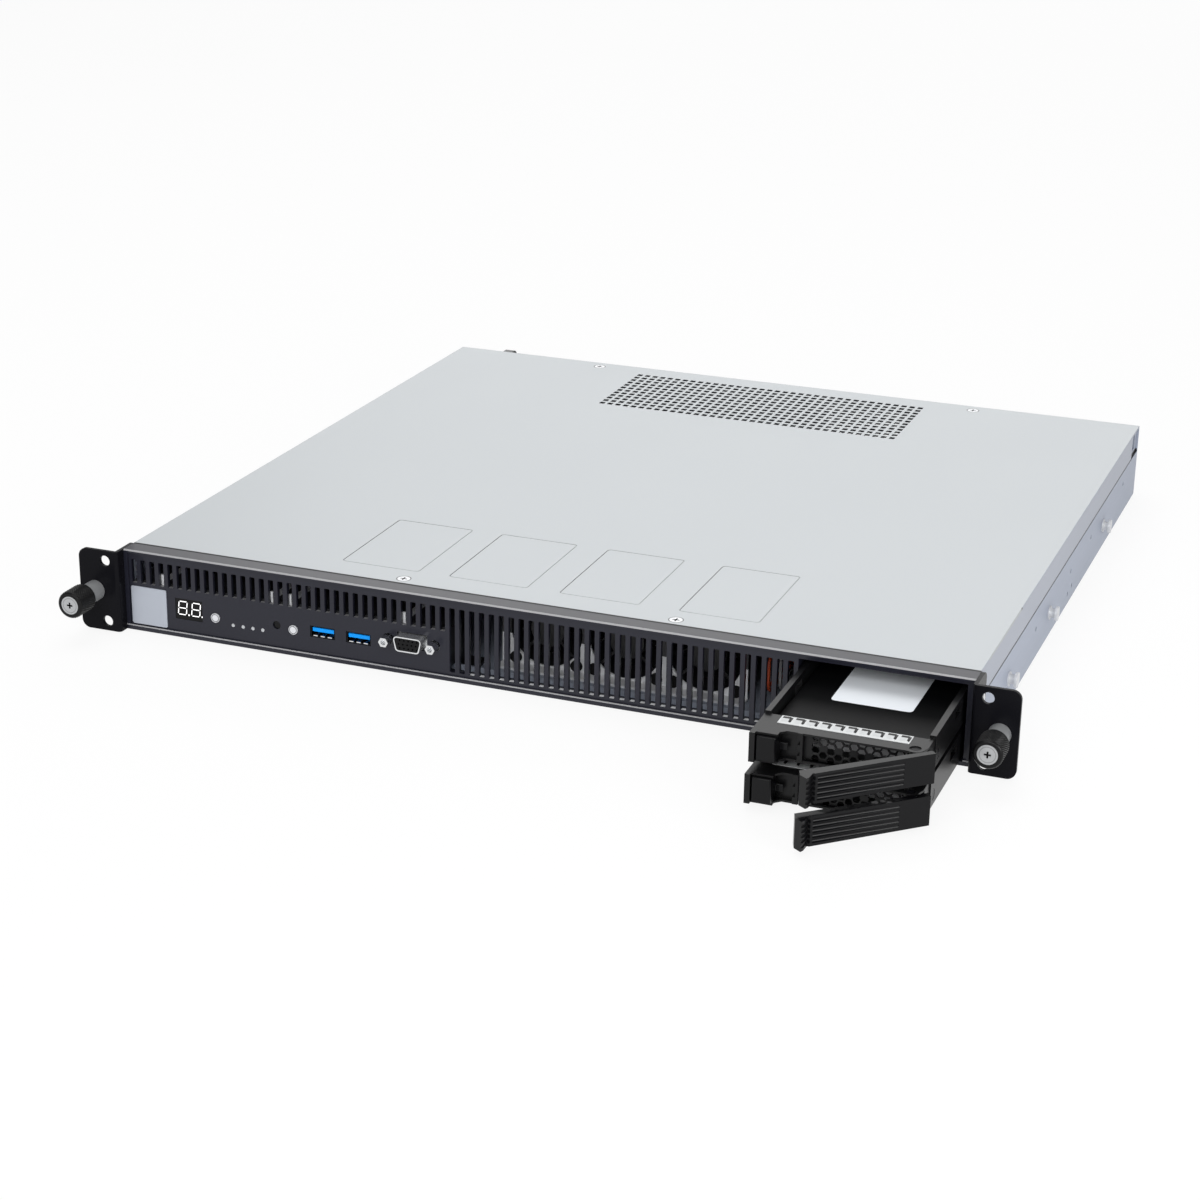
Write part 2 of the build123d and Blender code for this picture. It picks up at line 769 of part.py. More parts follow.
with BuildPart() as indicator_lenses:
    for x in led_x:
        rod_y((x, led_z), (face_front - slip, led_rear), led_radius)
keep("indicator_lenses", indicator_lenses.part)


def button(point, radius, front):
    """A button cap on a stem with a retaining flange behind the face."""
    with BuildPart() as body:
        rod_y(point, (front, button_rear), radius)
        rod_y(point, (button_rear - button_flange, button_rear), radius + button_flange_extra)
    return body.part


keep("power_button", button(power_point, button_radius, face_front - button_proud))
keep("location_button", button(location_point, button_radius, face_front - button_proud))
keep("reset_button", button(reset_point, reset_radius, face_front + reset_sunk))

# Front board on posts, its switches and the bracket over it
with BuildPart() as front_board:
    block(panel_board_x, panel_board_y, (board_seat, panel_board_top))
    for x in panel_post_x:
        rod_z((x, panel_post_y), (board_seat, panel_board_top), screw_radius, Mode.SUBTRACT)

with BuildPart() as tact_switches:
    for point in (power_point, location_point, reset_point):
        switch_y = (switch_front, switch_front + switch_depth)
        block(around(point[0], switch_width), switch_y, (panel_board_top, panel_board_top + switch_height))
keep("front_board", group(front_board.part, tact_switches.part))

with BuildPart() as panel_posts:
    for x in panel_post_x:
        rod_z((x, panel_post_y), (floor_top, board_seat), post_radius)
        rod_z((x, panel_post_y), (board_seat, panel_board_top), screw_radius - running)

with BuildPart() as panel_bracket:
    block(bracket_x, bracket_y, (bracket_top - sheet, bracket_top))
    for side, edge in ((-1, bracket_x[0]), (1, bracket_x[1])):
        wall = tuple(sorted((edge, edge - side * sheet)))
        block(wall, bracket_y, (front_lip_top + seat_gap, bracket_top))
        block(wall, (rail_y[0], bracket_y[1]), (floor_top, bracket_top))
    foot_y = (bracket_foot_front, bracket_y[1])
    foot_z = (floor_top, floor_top + sheet)
    block((bracket_x[0], bracket_x[0] + bracket_foot), foot_y, foot_z)
    block((bracket_x[1] - sheet, bracket_x[1] + bracket_foot), foot_y, foot_z)
    for x in bracket_tab_x:
        tab_y = (bracket_y[0], bracket_y[0] + sheet)
        block(around(x, bracket_tab_width), tab_y, (bracket_top - sheet, bracket_tab_top))
keep("panel_bracket", panel_bracket.part)

# USB sockets: folded shells with a tongue inside
with BuildPart() as usb_shells:
    for span in usb_x:
        usb_z = (panel_board_top, panel_board_top + usb_height)
        block(span, usb_y, usb_z)
        block(grown(span, -usb_sheet), grown(usb_y, slip), grown(usb_z, -usb_sheet), Mode.SUBTRACT)

with BuildPart() as usb_tongues:
    for span in usb_x:
        back_z = (panel_board_top + usb_sheet, panel_board_top + usb_height - usb_sheet)
        block(grown(span, -usb_sheet), (usb_y[1] - usb_back, usb_y[1]), back_z)
        block(grown(span, -usb_sheet - usb_tongue_inset / 2), (usb_tongue_front, usb_y[1]), usb_tongue_z)
keep("usb_tongues", usb_tongues.part)


def vga_outline(shrink):
    """The D-shaped outline of the VGA socket in the current sketch."""
    wide = vga_size[0] / 2 - shrink
    high = vga_size[1] / 2 - shrink
    with Locations(vga_centre):
        ring = ((-wide, high), (wide, high), (wide - vga_taper, -high), (-wide + vga_taper, -high))
        shape = Polygon(*ring, align=None)
    fillet(shape.vertices(), vga_corner - shrink)


with BuildPart() as vga_shell:
    with BuildSketch(front_plane(vga_flange_y[0])):
        vga_outline(0)
    extrude(amount=vga_flange_y[0] - vga_front)
    with BuildSketch(front_plane(vga_flange_y[1])):
        with Locations((vga_centre[0], vga_centre[1])):
            RectangleRounded(*vga_flange, vga_corner)
    extrude(amount=vga_flange_y[1] - vga_flange_y[0])
    with BuildSketch(front_plane(vga_flange_y[1])):
        vga_outline(vga_sheet)
    extrude(amount=vga_flange_y[1] - vga_front, mode=Mode.SUBTRACT)
    for x in jack_x:
        rod_y((x, jack_z), grown(vga_flange_y, slip), jack_shank_radius + running, Mode.SUBTRACT)
keep("socket_shells", group(usb_shells.part, vga_shell.part))

with BuildPart() as vga_insert:
    with BuildSketch(front_plane(vga_flange_y[1])):
        vga_outline(vga_sheet + running)
    extrude(amount=vga_flange_y[1] - vga_front - seat_gap)
    body_z = (panel_board_top, vga_centre[1] + vga_size[1] / 2)
    block(around(vga_centre[0], vga_body_width), (vga_flange_y[1], vga_body_rear), body_z)
    for row in (-1, 0, 1):
        for column in range(5):
            offset = (column - 2) * vga_pin_pitch[0] + abs(row) * vga_pin_pitch[0] / 4
            pin = (vga_centre[0] + offset, vga_centre[1] + row * vga_pin_pitch[1])
            rod_y(pin, (vga_front, vga_front + vga_pin_depth), vga_pin_radius, Mode.SUBTRACT)
keep("vga_insert", vga_insert.part)

with BuildPart() as vga_jackscrews:
    for x in jack_x:
        with BuildSketch(front_plane(vga_flange_y[0])):
            with Locations((x, jack_z)):
                RegularPolygon(jack_radius, 6)
        extrude(amount=vga_flange_y[0] - vga_front)
        rod_y((x, jack_z), (vga_flange_y[0], jack_shank_rear), jack_shank_radius)
        rod_y((x, jack_z), (vga_front, vga_front + jack_bore_depth), jack_bore, Mode.SUBTRACT)
keep("vga_jackscrews", vga_jackscrews.part)

# Fan bracket, frames, rotors and rubber mounts
fan_holes = [(side_x * fan_hole_offset, side_z * fan_hole_offset) for side_x in sides for side_z in sides]

with BuildPart() as fan_bracket:
    block(fan_plate_x, fan_plate_y, (floor_top, fan_plate_top))
    block(fan_plate_x, (fan_plate_y[0] - fan_plate_foot, fan_plate_y[1]), (floor_top, floor_top + sheet))
    for x in fan_x:
        rod_y((x, fan_z), grown(fan_plate_y, slip), fan_bore, Mode.SUBTRACT)
        for dx, dz in fan_holes:
            rod_y((x + dx, fan_z + dz), grown(fan_plate_y, slip), fan_hole_radius, Mode.SUBTRACT)
keep("fan_bracket", fan_bracket.part)


def fan_frame(x):
    """A square fan frame with a front spider that holds the bearing."""
    with BuildPart() as body:
        block(around(x, fan_size), (fan_front, fan_rear), around(fan_z, fan_size))
        fillet(body.edges().filter_by(Axis.Y), fan_corner)
        rod_y((x, fan_z), (fan_front - slip, fan_rear + slip), fan_bore, Mode.SUBTRACT)
        for dx, dz in fan_holes:
            rod_y((x + dx, fan_z + dz), (fan_front - slip, fan_rear + slip), fan_hole_radius, Mode.SUBTRACT)
        hub_y = (fan_front, fan_front + fan_hub_front)
        rod_y((x, fan_z), hub_y, fan_hub_radius)
        for turn in (45, 135):
            with BuildSketch(front_plane(hub_y[1])):
                with Locations((x, fan_z)):
                    Rectangle(2 * fan_bore + slip, fan_spoke, rotation=turn)
            extrude(amount=fan_hub_front / 2)
        rod_y((x, fan_z), (fan_front + fan_spoke, fan_rear), fan_bearing_radius, Mode.SUBTRACT)
    return body.part


def fan_rotor(centre, front, length, cap_radius, tip_radius):
    """An impeller: cap, shaft and twisted blades lofted from root to tip."""
    middle = front + length / 2
    with BuildPart() as body:
        rod_y(centre, (front, front + length), cap_radius)
        for index in range(blade_count):
            angle = math.radians(index * 360 / blade_count)
            outward = Vector(math.cos(angle), 0, math.sin(angle))
            root = (cap_radius - blade_thickness, blade_root_angle)
            tip = (tip_radius, blade_tip_angle)
            for radius, pitch in (root, tip):
                origin = Vector(centre[0], middle, centre[1]) + outward * radius
                section = Plane(origin=origin, x_dir=(0, 1, 0), z_dir=outward)
                with BuildSketch(section):
                    chord = min(blade_chord, length)
                    Rectangle(chord, blade_thickness, rotation=90 - pitch)
            loft(ruled=True)
    return body.part


keep("fan_frames", group(*[fan_frame(x) for x in fan_x]))
for number, x in enumerate(fan_x, start=1):
    rotor_front = fan_front + fan_hub_front + rotor_gap
    rotor_length = fan_depth - fan_hub_front - rotor_gap - rotor_rear_gap
    rotor = fan_rotor((x, fan_z), rotor_front, rotor_length, rotor_cap_radius, blade_tip)
    with BuildPart() as rotor_with_shaft:
        add(rotor)
        shaft_front = fan_front + fan_spoke + slip
        rod_y((x, fan_z), (shaft_front, rotor_front), fan_bearing_radius - running)
    keep("fan_rotor_" + str(number), rotor_with_shaft.part)

with BuildPart() as fan_mounts:
    for x in fan_x:
        for dx, dz in fan_holes:
            point = (x + dx, fan_z + dz)
            rod_y(point, (fan_plate_y[0] - mount_disc, fan_plate_y[0]), mount_radius)
            rod_y(point, (fan_plate_y[0], fan_front + mount_pin_length), mount_pin_radius)
keep("fan_mounts", fan_mounts.part)

# Drive cage, shelf and backplane
with BuildPart() as drive_cage:
    cage_y = (rail_y[0], cage_rear)
    block(cage_x, cage_y, (floor_top, cage_ceiling + cage_sheet))
    inner_x = grown(cage_x, -cage_sheet)
    block(inner_x, grown(cage_y, slip), (tray_glide, cage_ceiling), Mode.SUBTRACT)

with BuildPart() as cage_shelf:
    block(inner_x, (rail_y[0], backplane_y[0]), (shelf_top - cage_sheet, shelf_top))
keep("drive_cage", group(drive_cage.part, cage_shelf.part))

with BuildPart() as backplane:
    block(inner_x, backplane_y, (tray_glide, cage_ceiling))

with BuildPart() as backplane_sockets:
    for bottom in tray_bottoms:
        socket_bottom = bottom + ledge_height + seat_gap
        socket_z = (socket_bottom, socket_bottom + drive_socket_height - 3 * seat_gap)
        block(grown(drive_socket_x, -seat_gap), backplane_socket_y, socket_z)
keep("backplane", group(backplane.part, backplane_sockets.part))


def tray_plate_sketch(front):
    """Outline of a tray's top and bottom plate with the pivot eye."""
    points = (
        (tray_x[0], front),
        (tray_x[0] + tray_column, front),
        (tray_x[0] + tray_column, front + tray_block_line[1]),
        (tray_block_line[0], front + tray_block_line[1]),
        (tray_nose_line[0], front + tray_nose_line[1]),
        (tray_front_line[0], front + tray_front_line[1]),
        (pivot_x, front + tray_front_line[1]),
        (pivot_x + pivot_eye_radius, front + pivot_offset),
        (tray_plate_right, front + pivot_offset + pivot_eye_radius / 2),
        (tray_plate_right, front + tray_plate_depth),
        (tray_x[0], front + tray_plate_depth),
    )
    Polygon(*points, align=None)
    with Locations((pivot_x, front + pivot_offset)):
        Circle(pivot_eye_radius)
        Circle(pin_radius + running, mode=Mode.SUBTRACT)


def tray(front, bottom):
    """A drive tray: two plates, side rails, front wall with catch, ledges."""
    top = bottom + tray_height
    rear = front + tray_length
    inside = (tray_x[0] + rail_left, tray_x[1] - rail_right)
    between = (bottom, top)
    with BuildPart() as body:
        with BuildSketch(Plane.XY.offset(bottom)):
            tray_plate_sketch(front)
        extrude(amount=tray_plate)
        with BuildSketch(Plane.XY.offset(top - tray_plate)):
            tray_plate_sketch(front)
        extrude(amount=tray_plate)
        column_x = (tray_x[0], tray_x[0] + tray_column)
        block(column_x, (front, front + tray_plate_depth), between)
        rail_z_span = (bottom, bottom + tray_rail_top)
        block((tray_x[0], inside[0]), (front + tray_plate_depth, rear), rail_z_span)
        block((inside[1], tray_plate_right), (front + pivot_offset + pivot_eye_radius, rear), between)
        block((inside[1], tray_x[1]), (front + rail_front, rear), rail_z_span)
        wall_y = (front + tray_wall_y[0], front + tray_wall_y[1])
        block((column_x[0], tray_wall_right), wall_y, between)
        catch_y = (front + catch_front, wall_y[1])
        block(catch_x, catch_y, between)
        for notch in catch_notch_z:
            notch_z = (bottom + notch[0], bottom + notch[1])
            block((catch_x[0], sum(catch_x) / 2), (catch_y[0], wall_y[0]), notch_z, Mode.SUBTRACT)
        stop_y = (front + tray_stop_y[0], front + tray_stop_y[1])
        block((inside[0] - slip, inside[1] + slip), stop_y, (bottom, bottom + tray_stop_height))
        block((inside[0] - slip, inside[1] + slip), (rear - rear_bar, rear), (bottom, bottom + tray_plate))
        ledge_z = (bottom, bottom + ledge_height)
        block((inside[0] - slip, inside[0] + ledge_width), (stop_y[0], rear), ledge_z)
        block((inside[1] - ledge_width, inside[1] + slip), (stop_y[0], rear), ledge_z)
        for side, edge in ((-1, tray_x[0]), (1, tray_x[1])):
            slot_x = tuple(sorted((edge + side * slip, edge - side * (rail_left + slip))))
            slot_y = (front + tray_slot_y[0], front + tray_slot_y[1])
            block(slot_x, slot_y, (bottom + tray_slot_z[0], bottom + tray_slot_z[1]), Mode.SUBTRACT)
            for y in drive_screw_y:
                point = (front + y, bottom + drive_screw_z)
                rod_x(point, grown(slot_x, ledge_width), drive_screw_radius + running, Mode.SUBTRACT)
                head_x = tuple(sorted((edge + side * slip, edge - side * (drive_screw_head + slip))))
                rod_x(point, head_x, drive_screw_head_radius + slip, Mode.SUBTRACT)
        sink = (top - pivot_sink_depth, top + slip)
        rod_z((pivot_x, front + pivot_offset), sink, pivot_sink_radius, Mode.SUBTRACT)
    return body.part


def mesh_plate(front, bottom):
    """The honeycomb plate in the tray front."""
    plate_y = (front + tray_wall_y[0], front + tray_wall_y[1])
    with BuildPart() as body:
        plate_z = (bottom + tray_plate, bottom + tray_height - tray_plate)
        block((tray_wall_right, mesh_right), plate_y, plate_z)
        cells = []
        for band in honeycomb_bands:
            for column in range(honeycomb_columns):
                x = honeycomb_start + column * honeycomb_pitch * math.cos(math.radians(30))
                rows = (0,) if column % 2 else (-honeycomb_pitch / 2, honeycomb_pitch / 2)
                for row in rows:
                    cells.append(Face(hexagon(front_plane(plate_y[0]), (x, bottom + band + row))))
        extrude(cells, amount=plate_y[0] - plate_y[1], mode=Mode.SUBTRACT)
    return body.part


def drive(front, bottom):
    """A 2.5 inch drive with its connector recess and screw holes."""
    drive_y = (front + drive_front, front + drive_front + drive_length)
    drive_z = (bottom + ledge_height, bottom + ledge_height + drive_height)
    with BuildPart() as body:
        block(drive_x, drive_y, drive_z)
        fillet(body.edges().filter_by(Axis.Z), drive_corner)
        socket_span = (drive_y[1] - drive_socket_depth, drive_y[1] + slip)
        block(drive_socket_x, socket_span, (drive_z[0] - slip, drive_z[0] + drive_socket_height), Mode.SUBTRACT)
        for side, edge in ((-1, drive_x[0]), (1, drive_x[1])):
            for y in drive_screw_y:
                hole_x = tuple(sorted((edge + side * slip, edge - side * (drive_screw_grip + slip))))
                point = (front + y, bottom + drive_screw_z)
                rod_x(point, hole_x, drive_screw_radius + running, Mode.SUBTRACT)
    return body.part


def drive_screws(front, bottom):
    """Four screws that hold a drive in its tray."""
    with BuildPart() as body:
        for side, edge, end in ((-1, tray_x[0], drive_x[0]), (1, tray_x[1], drive_x[1])):
            for y in drive_screw_y:
                point = (front + y, bottom + drive_screw_z)
                seat = edge - side * (drive_screw_head + slip)
                rod_x(point, tuple(sorted((seat, edge - side * slip))), drive_screw_head_radius)
                rod_x(point, tuple(sorted((seat, end - side * drive_screw_grip))), drive_screw_radius)
    return body.part


def shield_strip(front, bottom):
    """The bright strip with a row of raised spring fingers."""
    plate_z = bottom + tray_height
    pitch = (strip_x[1] - strip_x[0]) / finger_count
    with BuildPart() as body:
        strip_span = (front + strip_y[0], front + strip_y[1])
        block(strip_x, strip_span, (plate_z, plate_z + strip_sheet))
        for index in range(finger_count):
            x = strip_x[0] + (index + 0.5) * pitch
            window_y = around(sum(strip_span) / 2, finger_length)
            window_x = (x - finger_width / 2 - slip, x + finger_width / 2 + finger_side_gap)
            cut_y = (window_y[0], window_y[1] + finger_end_gap)
            block(window_x, cut_y, (plate_z - slip, plate_z + strip_sheet), Mode.SUBTRACT)
            with BuildSketch(Plane.YZ.offset(x - finger_width / 2)):
                low, high = plate_z, plate_z + finger_rise
                Polygon(
                    (window_y[0] - slip, low),
                    (window_y[1] - slip, high),
                    (window_y[1] - slip, high + strip_sheet),
                    (window_y[0] - slip, low + strip_sheet),
                    align=None,
                )
            extrude(amount=finger_width)
    return body.part


def release_latch(front, bottom):
    """The release block with its hook."""
    block_z = (bottom + tray_plate + 2 * slip, bottom + tray_height - tray_plate - 2 * slip)
    with BuildPart() as body:
        block(block_x, (front, front + block_depth), block_z)
        chamfer(body.edges().filter_by(Axis.Z).group_by(Axis.Y)[0], block_edge)
        hook_span = (front + hook_y[0], front + hook_y[1])
        block((block_x[1] - slip, hook_x), hook_span, (bottom + hook_z[0], bottom + hook_z[1]))
    return body.part


def lever_plane(front, z):
    """The lever's own plane at a height: x along the bar, y to the rear."""
    turn = math.radians(lever_angle)
    along = (math.cos(turn), math.sin(turn), 0)
    return Plane(origin=(pivot_x, front + pivot_offset, z), x_dir=along, z_dir=(0, 0, 1))


def lever(front, bottom):
    """The ejector lever: tapered bar, stepped grip, fading grooves, hub."""
    with BuildPart() as body:
        with BuildSketch(lever_plane(front, bottom)):
            Polygon(*[(u, -n) for u, n in lever_bar], align=None)
        extrude(amount=tray_height)
        with BuildSketch(lever_plane(front, bottom + tray_plate + seat_gap)):
            Circle(lever_hub_radius)
            with Locations((sum(lever_web) / 2, -lever_web_reach / 2)):
                Rectangle(lever_web[1] - lever_web[0], lever_web_reach)
        extrude(amount=tray_height - 2 * (tray_plate + seat_gap))
        rod_z((pivot_x, front + pivot_offset), (bottom, bottom + tray_height), pin_radius + running, Mode.SUBTRACT)
        for index in range(lever_groove_count):
            z = bottom + tray_height * (index + 1) / (lever_groove_count + 1)
            frame = lever_plane(front, z)
            bar_line = (lever_groove_start, lever_groove_end, lever_groove_radius)
            grip_line = (grip_start, grip_end, grip_groove_radius)
            for begin, end, radius in (bar_line, grip_line):
                start = frame.from_local_coords(Vector(begin[0], -begin[1], 0))
                finish = frame.from_local_coords(Vector(end[0], -end[1], 0))
                with BuildSketch(Plane(origin=start, z_dir=finish - start)):
                    Circle(radius)
                extrude(amount=(finish - start).length, mode=Mode.SUBTRACT)
    return body.part


def lever_pin(front, bottom):
    """The pivot pin through both plates of a tray."""
    with BuildPart() as body:
        pin_z = (bottom + slip, bottom + tray_height - pivot_sink_depth)
        rod_z((pivot_x, front + pivot_offset), pin_z, pin_radius)
    return body.part


for word, front, bottom in zip(("upper", "lower"), tray_fronts, tray_bottoms):
    keep(word + "_tray", group(tray(front, bottom), mesh_plate(front, bottom)))
    keep(word + "_drive", drive(front, bottom))
    keep(word + "_fasteners", group(lever_pin(front, bottom), drive_screws(front, bottom)))
    keep(word + "_shield_strip", shield_strip(front, bottom))
    keep(word + "_release", release_latch(front, bottom))
    keep(word + "_lever", lever(front, bottom))

# Mainboard and what it carries
post_points = [(x, y) for x in board_posts_x for y in board_posts_y]

with BuildPart() as mainboard:
    block(mainboard_x, mainboard_y, (mainboard_bottom, mainboard_top))
    for point in post_points:
        rod_z(point, (mainboard_bottom, mainboard_top), screw_radius + hole_gap, Mode.SUBTRACT)
keep("mainboard", mainboard.part)

with BuildPart() as board_posts:
    for point in post_points:
        rod_z(point, (floor_top, mainboard_bottom), post_radius)
        rod_z(point, (mainboard_bottom - board_screw_length, mainboard_bottom), screw_radius, Mode.SUBTRACT)

with BuildPart() as board_screws:
    for point in post_points:
        rod_z(point, (mainboard_top, mainboard_top + board_screw_head), board_screw_radius)
        rod_z(point, (mainboard_top - board_screw_length, mainboard_top), screw_radius - running)
keep("board_posts", group(panel_posts.part, board_posts.part))
keep("chassis_screws", group(cover_screws.part, ear_screws.part, board_screws.part))

with BuildPart() as processor_socket:
    block(socket_x, socket_y, (mainboard_top, mainboard_top + socket_height))

with BuildPart() as heat_sink:
    sink_bottom = mainboard_top + socket_height
    block(sink_x, sink_y, (sink_bottom, sink_bottom + sink_base))
    for index in range(sink_fin_count):
        fin_x = sink_x[0] + index * (sink_x[1] - sink_x[0] - sink_fin) / (sink_fin_count - 1)
        block((fin_x, fin_x + sink_fin), sink_y, (sink_bottom, sink_top))
keep("heat_sink", heat_sink.part)

with BuildPart() as memory_sockets:
    for x in memory_x:
        block(around(x, memory_socket_width), memory_y, (mainboard_top, mainboard_top + memory_socket_height))
        seat = (mainboard_top + memory_seat, mainboard_top + memory_socket_height)
        block(around(x, memory_sheet), memory_y, seat, Mode.SUBTRACT)

with BuildPart() as memory_modules:
    for x in memory_x:
        module_z = (mainboard_top + memory_seat, mainboard_top + memory_seat + memory_height)
        block(around(x, memory_sheet - 2 * running), grown(memory_y, -slip), module_z)
keep("memory_modules", memory_modules.part)

keep("board_sockets", group(processor_socket.part, memory_sockets.part))

# Rear sockets and slot blank
with BuildPart() as network_ports:
    for x in network_x:
        port_y = (chassis_depth - network_depth, chassis_depth)
        port_z = (mainboard_top, mainboard_top + network_size[1])
        block(around(x, network_size[0]), port_y, port_z)
        cavity_y = (chassis_depth - network_cavity_depth, chassis_depth + slip)
        cavity_z = around(sum(port_z) / 2, network_cavity[1])
        block(around(x, network_cavity[0]), cavity_y, cavity_z, Mode.SUBTRACT)
        latch_z = (cavity_z[1], cavity_z[1] + network_latch[1])
        block(around(x, network_latch[0]), cavity_y, latch_z, Mode.SUBTRACT)

with BuildPart() as rear_usb_stack:
    stack_y = (chassis_depth - usb_stack_depth, chassis_depth)
    block(usb_stack_x, stack_y, stack_z)
    port_height = (usb_stack_height - 3 * usb_stack_sheet) / 2
    for index in range(2):
        low = stack_z[0] + usb_stack_sheet + index * (port_height + usb_stack_sheet)
        cavity_x = grown(usb_stack_x, -usb_stack_sheet)
        cavity_y = (stack_y[0] + 3 * sheet, stack_y[1] + slip)
        block(cavity_x, cavity_y, (low, low + port_height), Mode.SUBTRACT)
        tongue_z = around(low + port_height / 2, usb_stack_tongue)
        block(grown(cavity_x, -usb_tongue_inset), (stack_y[0], stack_y[1] - sheet), tongue_z)
keep("rear_ports", group(network_ports.part, rear_usb_stack.part))

with BuildPart() as slot_blank:
    blank_y = (chassis_depth - sheet - blank_sheet, chassis_depth - sheet)
    block(blank_x, blank_y, blank_z)
keep("slot_blank", slot_blank.part)

# Power supply with fan, guard, inlet and pull handle
with BuildPart() as supply_case:
    block(supply_x, supply_y, supply_z)
    hollow_y = (supply_y[0] + supply_wall, supply_y[1] - supply_wall)
    block(grown(supply_x, -supply_wall), hollow_y, grown(supply_z, -supply_wall), Mode.SUBTRACT)
    wall_span = (hollow_y[1] - slip, supply_y[1] + slip)
    rod_y((supply_fan_x, supply_fan_z), wall_span, supply_fan_bore, Mode.SUBTRACT)
    block(grown(inlet_x, slip), wall_span, grown(inlet_z, slip), Mode.SUBTRACT)

with BuildPart() as supply_guard:
    with BuildSketch(front_plane(supply_y[1])):
        with Locations((supply_fan_x, supply_fan_z)):
            for radius in guard_rings:
                Circle(radius + guard_wire / 2)
                Circle(radius - guard_wire / 2, mode=Mode.SUBTRACT)
    extrude(amount=-guard_sheet)
    for turn in (45, 135):
        with BuildSketch(front_plane(supply_y[1])):
            with Locations((supply_fan_x, supply_fan_z)):
                Rectangle(2 * guard_rings[-1], guard_wire, rotation=turn)
        extrude(amount=-guard_sheet)

with BuildPart() as supply_fan_frame:
    frame_y = (hollow_y[1] - supply_fan_pocket, hollow_y[1])
    frame_z = grown(supply_z, -supply_wall - slip)
    block(around(supply_fan_x, 2 * supply_fan_bore + 2 * sheet), frame_y, frame_z)
    rod_y((supply_fan_x, supply_fan_z), grown(frame_y, slip), supply_fan_bore, Mode.SUBTRACT)
    bearing_y = (frame_y[0], frame_y[0] + sheet)
    rod_y((supply_fan_x, supply_fan_z), bearing_y, supply_hub_radius)
    for turn in (45, 135):
        with BuildSketch(front_plane(bearing_y[1])):
            with Locations((supply_fan_x, supply_fan_z)):
                Rectangle(2 * supply_fan_bore + slip, fan_spoke, rotation=turn)
        extrude(amount=sheet)
    rod_y((supply_fan_x, supply_fan_z), grown(bearing_y, slip), fan_bearing_radius, Mode.SUBTRACT)
keep("supply_case", group(supply_case.part, supply_guard.part, supply_fan_frame.part))

supply_rotor = fan_rotor(
    (supply_fan_x, supply_fan_z),
    supply_rotor_front,
    supply_rotor_length,
    supply_hub_radius,
    supply_blade_tip,
)
with BuildPart() as supply_fan_rotor:
    add(supply_rotor)
    rod_y((supply_fan_x, supply_fan_z), (frame_y[0], supply_rotor_front), fan_bearing_radius - running)
keep("supply_fan_rotor", supply_fan_rotor.part)

with BuildPart() as power_inlet:
    inlet_y = (supply_y[1] - inlet_depth, supply_y[1])
    centre = (sum(inlet_x) / 2, sum(inlet_z) / 2)
    block(inlet_x, inlet_y, inlet_z)
    with BuildSketch(front_plane(inlet_y[1])):
        wide, high = inlet_cavity[0] / 2, inlet_cavity[1] / 2
        with Locations(centre):
            Polygon(
                (-wide, -high),
                (wide, -high),
                (wide, high - inlet_corner),
                (wide - inlet_corner, high),
                (-wide + inlet_corner, high),
                (-wide, high - inlet_corner),
                align=None,
            )
    extrude(amount=inlet_cavity_depth, mode=Mode.SUBTRACT)
    floor_y = inlet_y[1] - inlet_cavity_depth
    for dx, dz in inlet_pins:
        pin_x = around(centre[0] + dx, inlet_pin[0])
        block(pin_x, (floor_y - slip, floor_y + inlet_pin_length), around(centre[1] + dz, inlet_pin[1]))
keep("power_inlet", power_inlet.part)

with BuildPart() as supply_handle:
    block(handle_x, handle_y, handle_z)
    fillet(supply_handle.edges().filter_by(Axis.X).group_by(Axis.Y)[-1], handle_corner)
    gap_y = (handle_y[0] - slip, handle_y[1] - handle_wall)
    block(grown(handle_x, slip), gap_y, grown(handle_z, -handle_wall), Mode.SUBTRACT)
keep("supply_handle", supply_handle.part)

# Wires
with BuildPart() as wire_plug:
    block(plug_x, plug_y, (mainboard_top, mainboard_top + plug_height))


def fan_wire(index):
    """One wire: out of the fan, forward, down and back to the plug."""
    shift = index * wire_spacing
    start = (wire_start[0], wire_start[1] + shift, wire_start[2])
    out_x = plug_x[0] + wire_spacing + shift
    front_y = wire_front_y + shift
    points = (
        start,
        (out_x, start[1], start[2]),
        (out_x, front_y, start[2]),
        (out_x, front_y, wire_level),
        (out_x, plug_y[0], wire_level),
    )
    with BuildPart() as body:
        with BuildLine():
            FilletPolyline(*points, radius=wire_bend)
        with BuildSketch(Plane(origin=start, x_dir=(0, 1, 0), z_dir=(1, 0, 0))):
            Circle(wire_radius)
        sweep()
    return body.part


with BuildPart() as fan_wires_red:
    add(fan_wire(0))
    add(fan_wire(1))
keep("fan_wires_red", fan_wires_red.part)

with BuildPart() as fan_wires_grey:
    add(fan_wire(2))
    add(fan_wire(3))
keep("fan_wires_grey", fan_wires_grey.part)

with BuildPart() as supply_plug:
    plug_span = around(supply_wire_turn, 2 * supply_plug_half)
    block(supply_plug_x, plug_span, (mainboard_top, mainboard_top + supply_plug_height))
keep("wire_plugs", group(wire_plug.part, supply_plug.part))

with BuildPart() as supply_cable:
    cable_start = (supply_fan_x, supply_y[0], supply_wire_z)
    with BuildLine():
        cable_points = (
            cable_start,
            (supply_fan_x, supply_wire_turn, supply_wire_z),
            (supply_plug_x[0], supply_wire_turn, supply_wire_z),
        )
        FilletPolyline(*cable_points, radius=supply_wire_bend)
    with BuildSketch(front_plane(cable_start[1])):
        with Locations((supply_fan_x, supply_wire_z)):
            Circle(supply_wire_radius)
    sweep()
keep("supply_cable", supply_cable.part)

os.makedirs("parts", exist_ok=True)
for name, part in pieces.items():
    export_step(part, "parts/" + name + ".step")
print(len(pieces), "pieces")
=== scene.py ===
import json
import logging
import math
from dataclasses import dataclass, field
from enum import Enum
from functools import partial
from typing import Any, Callable, ClassVar, Sequence

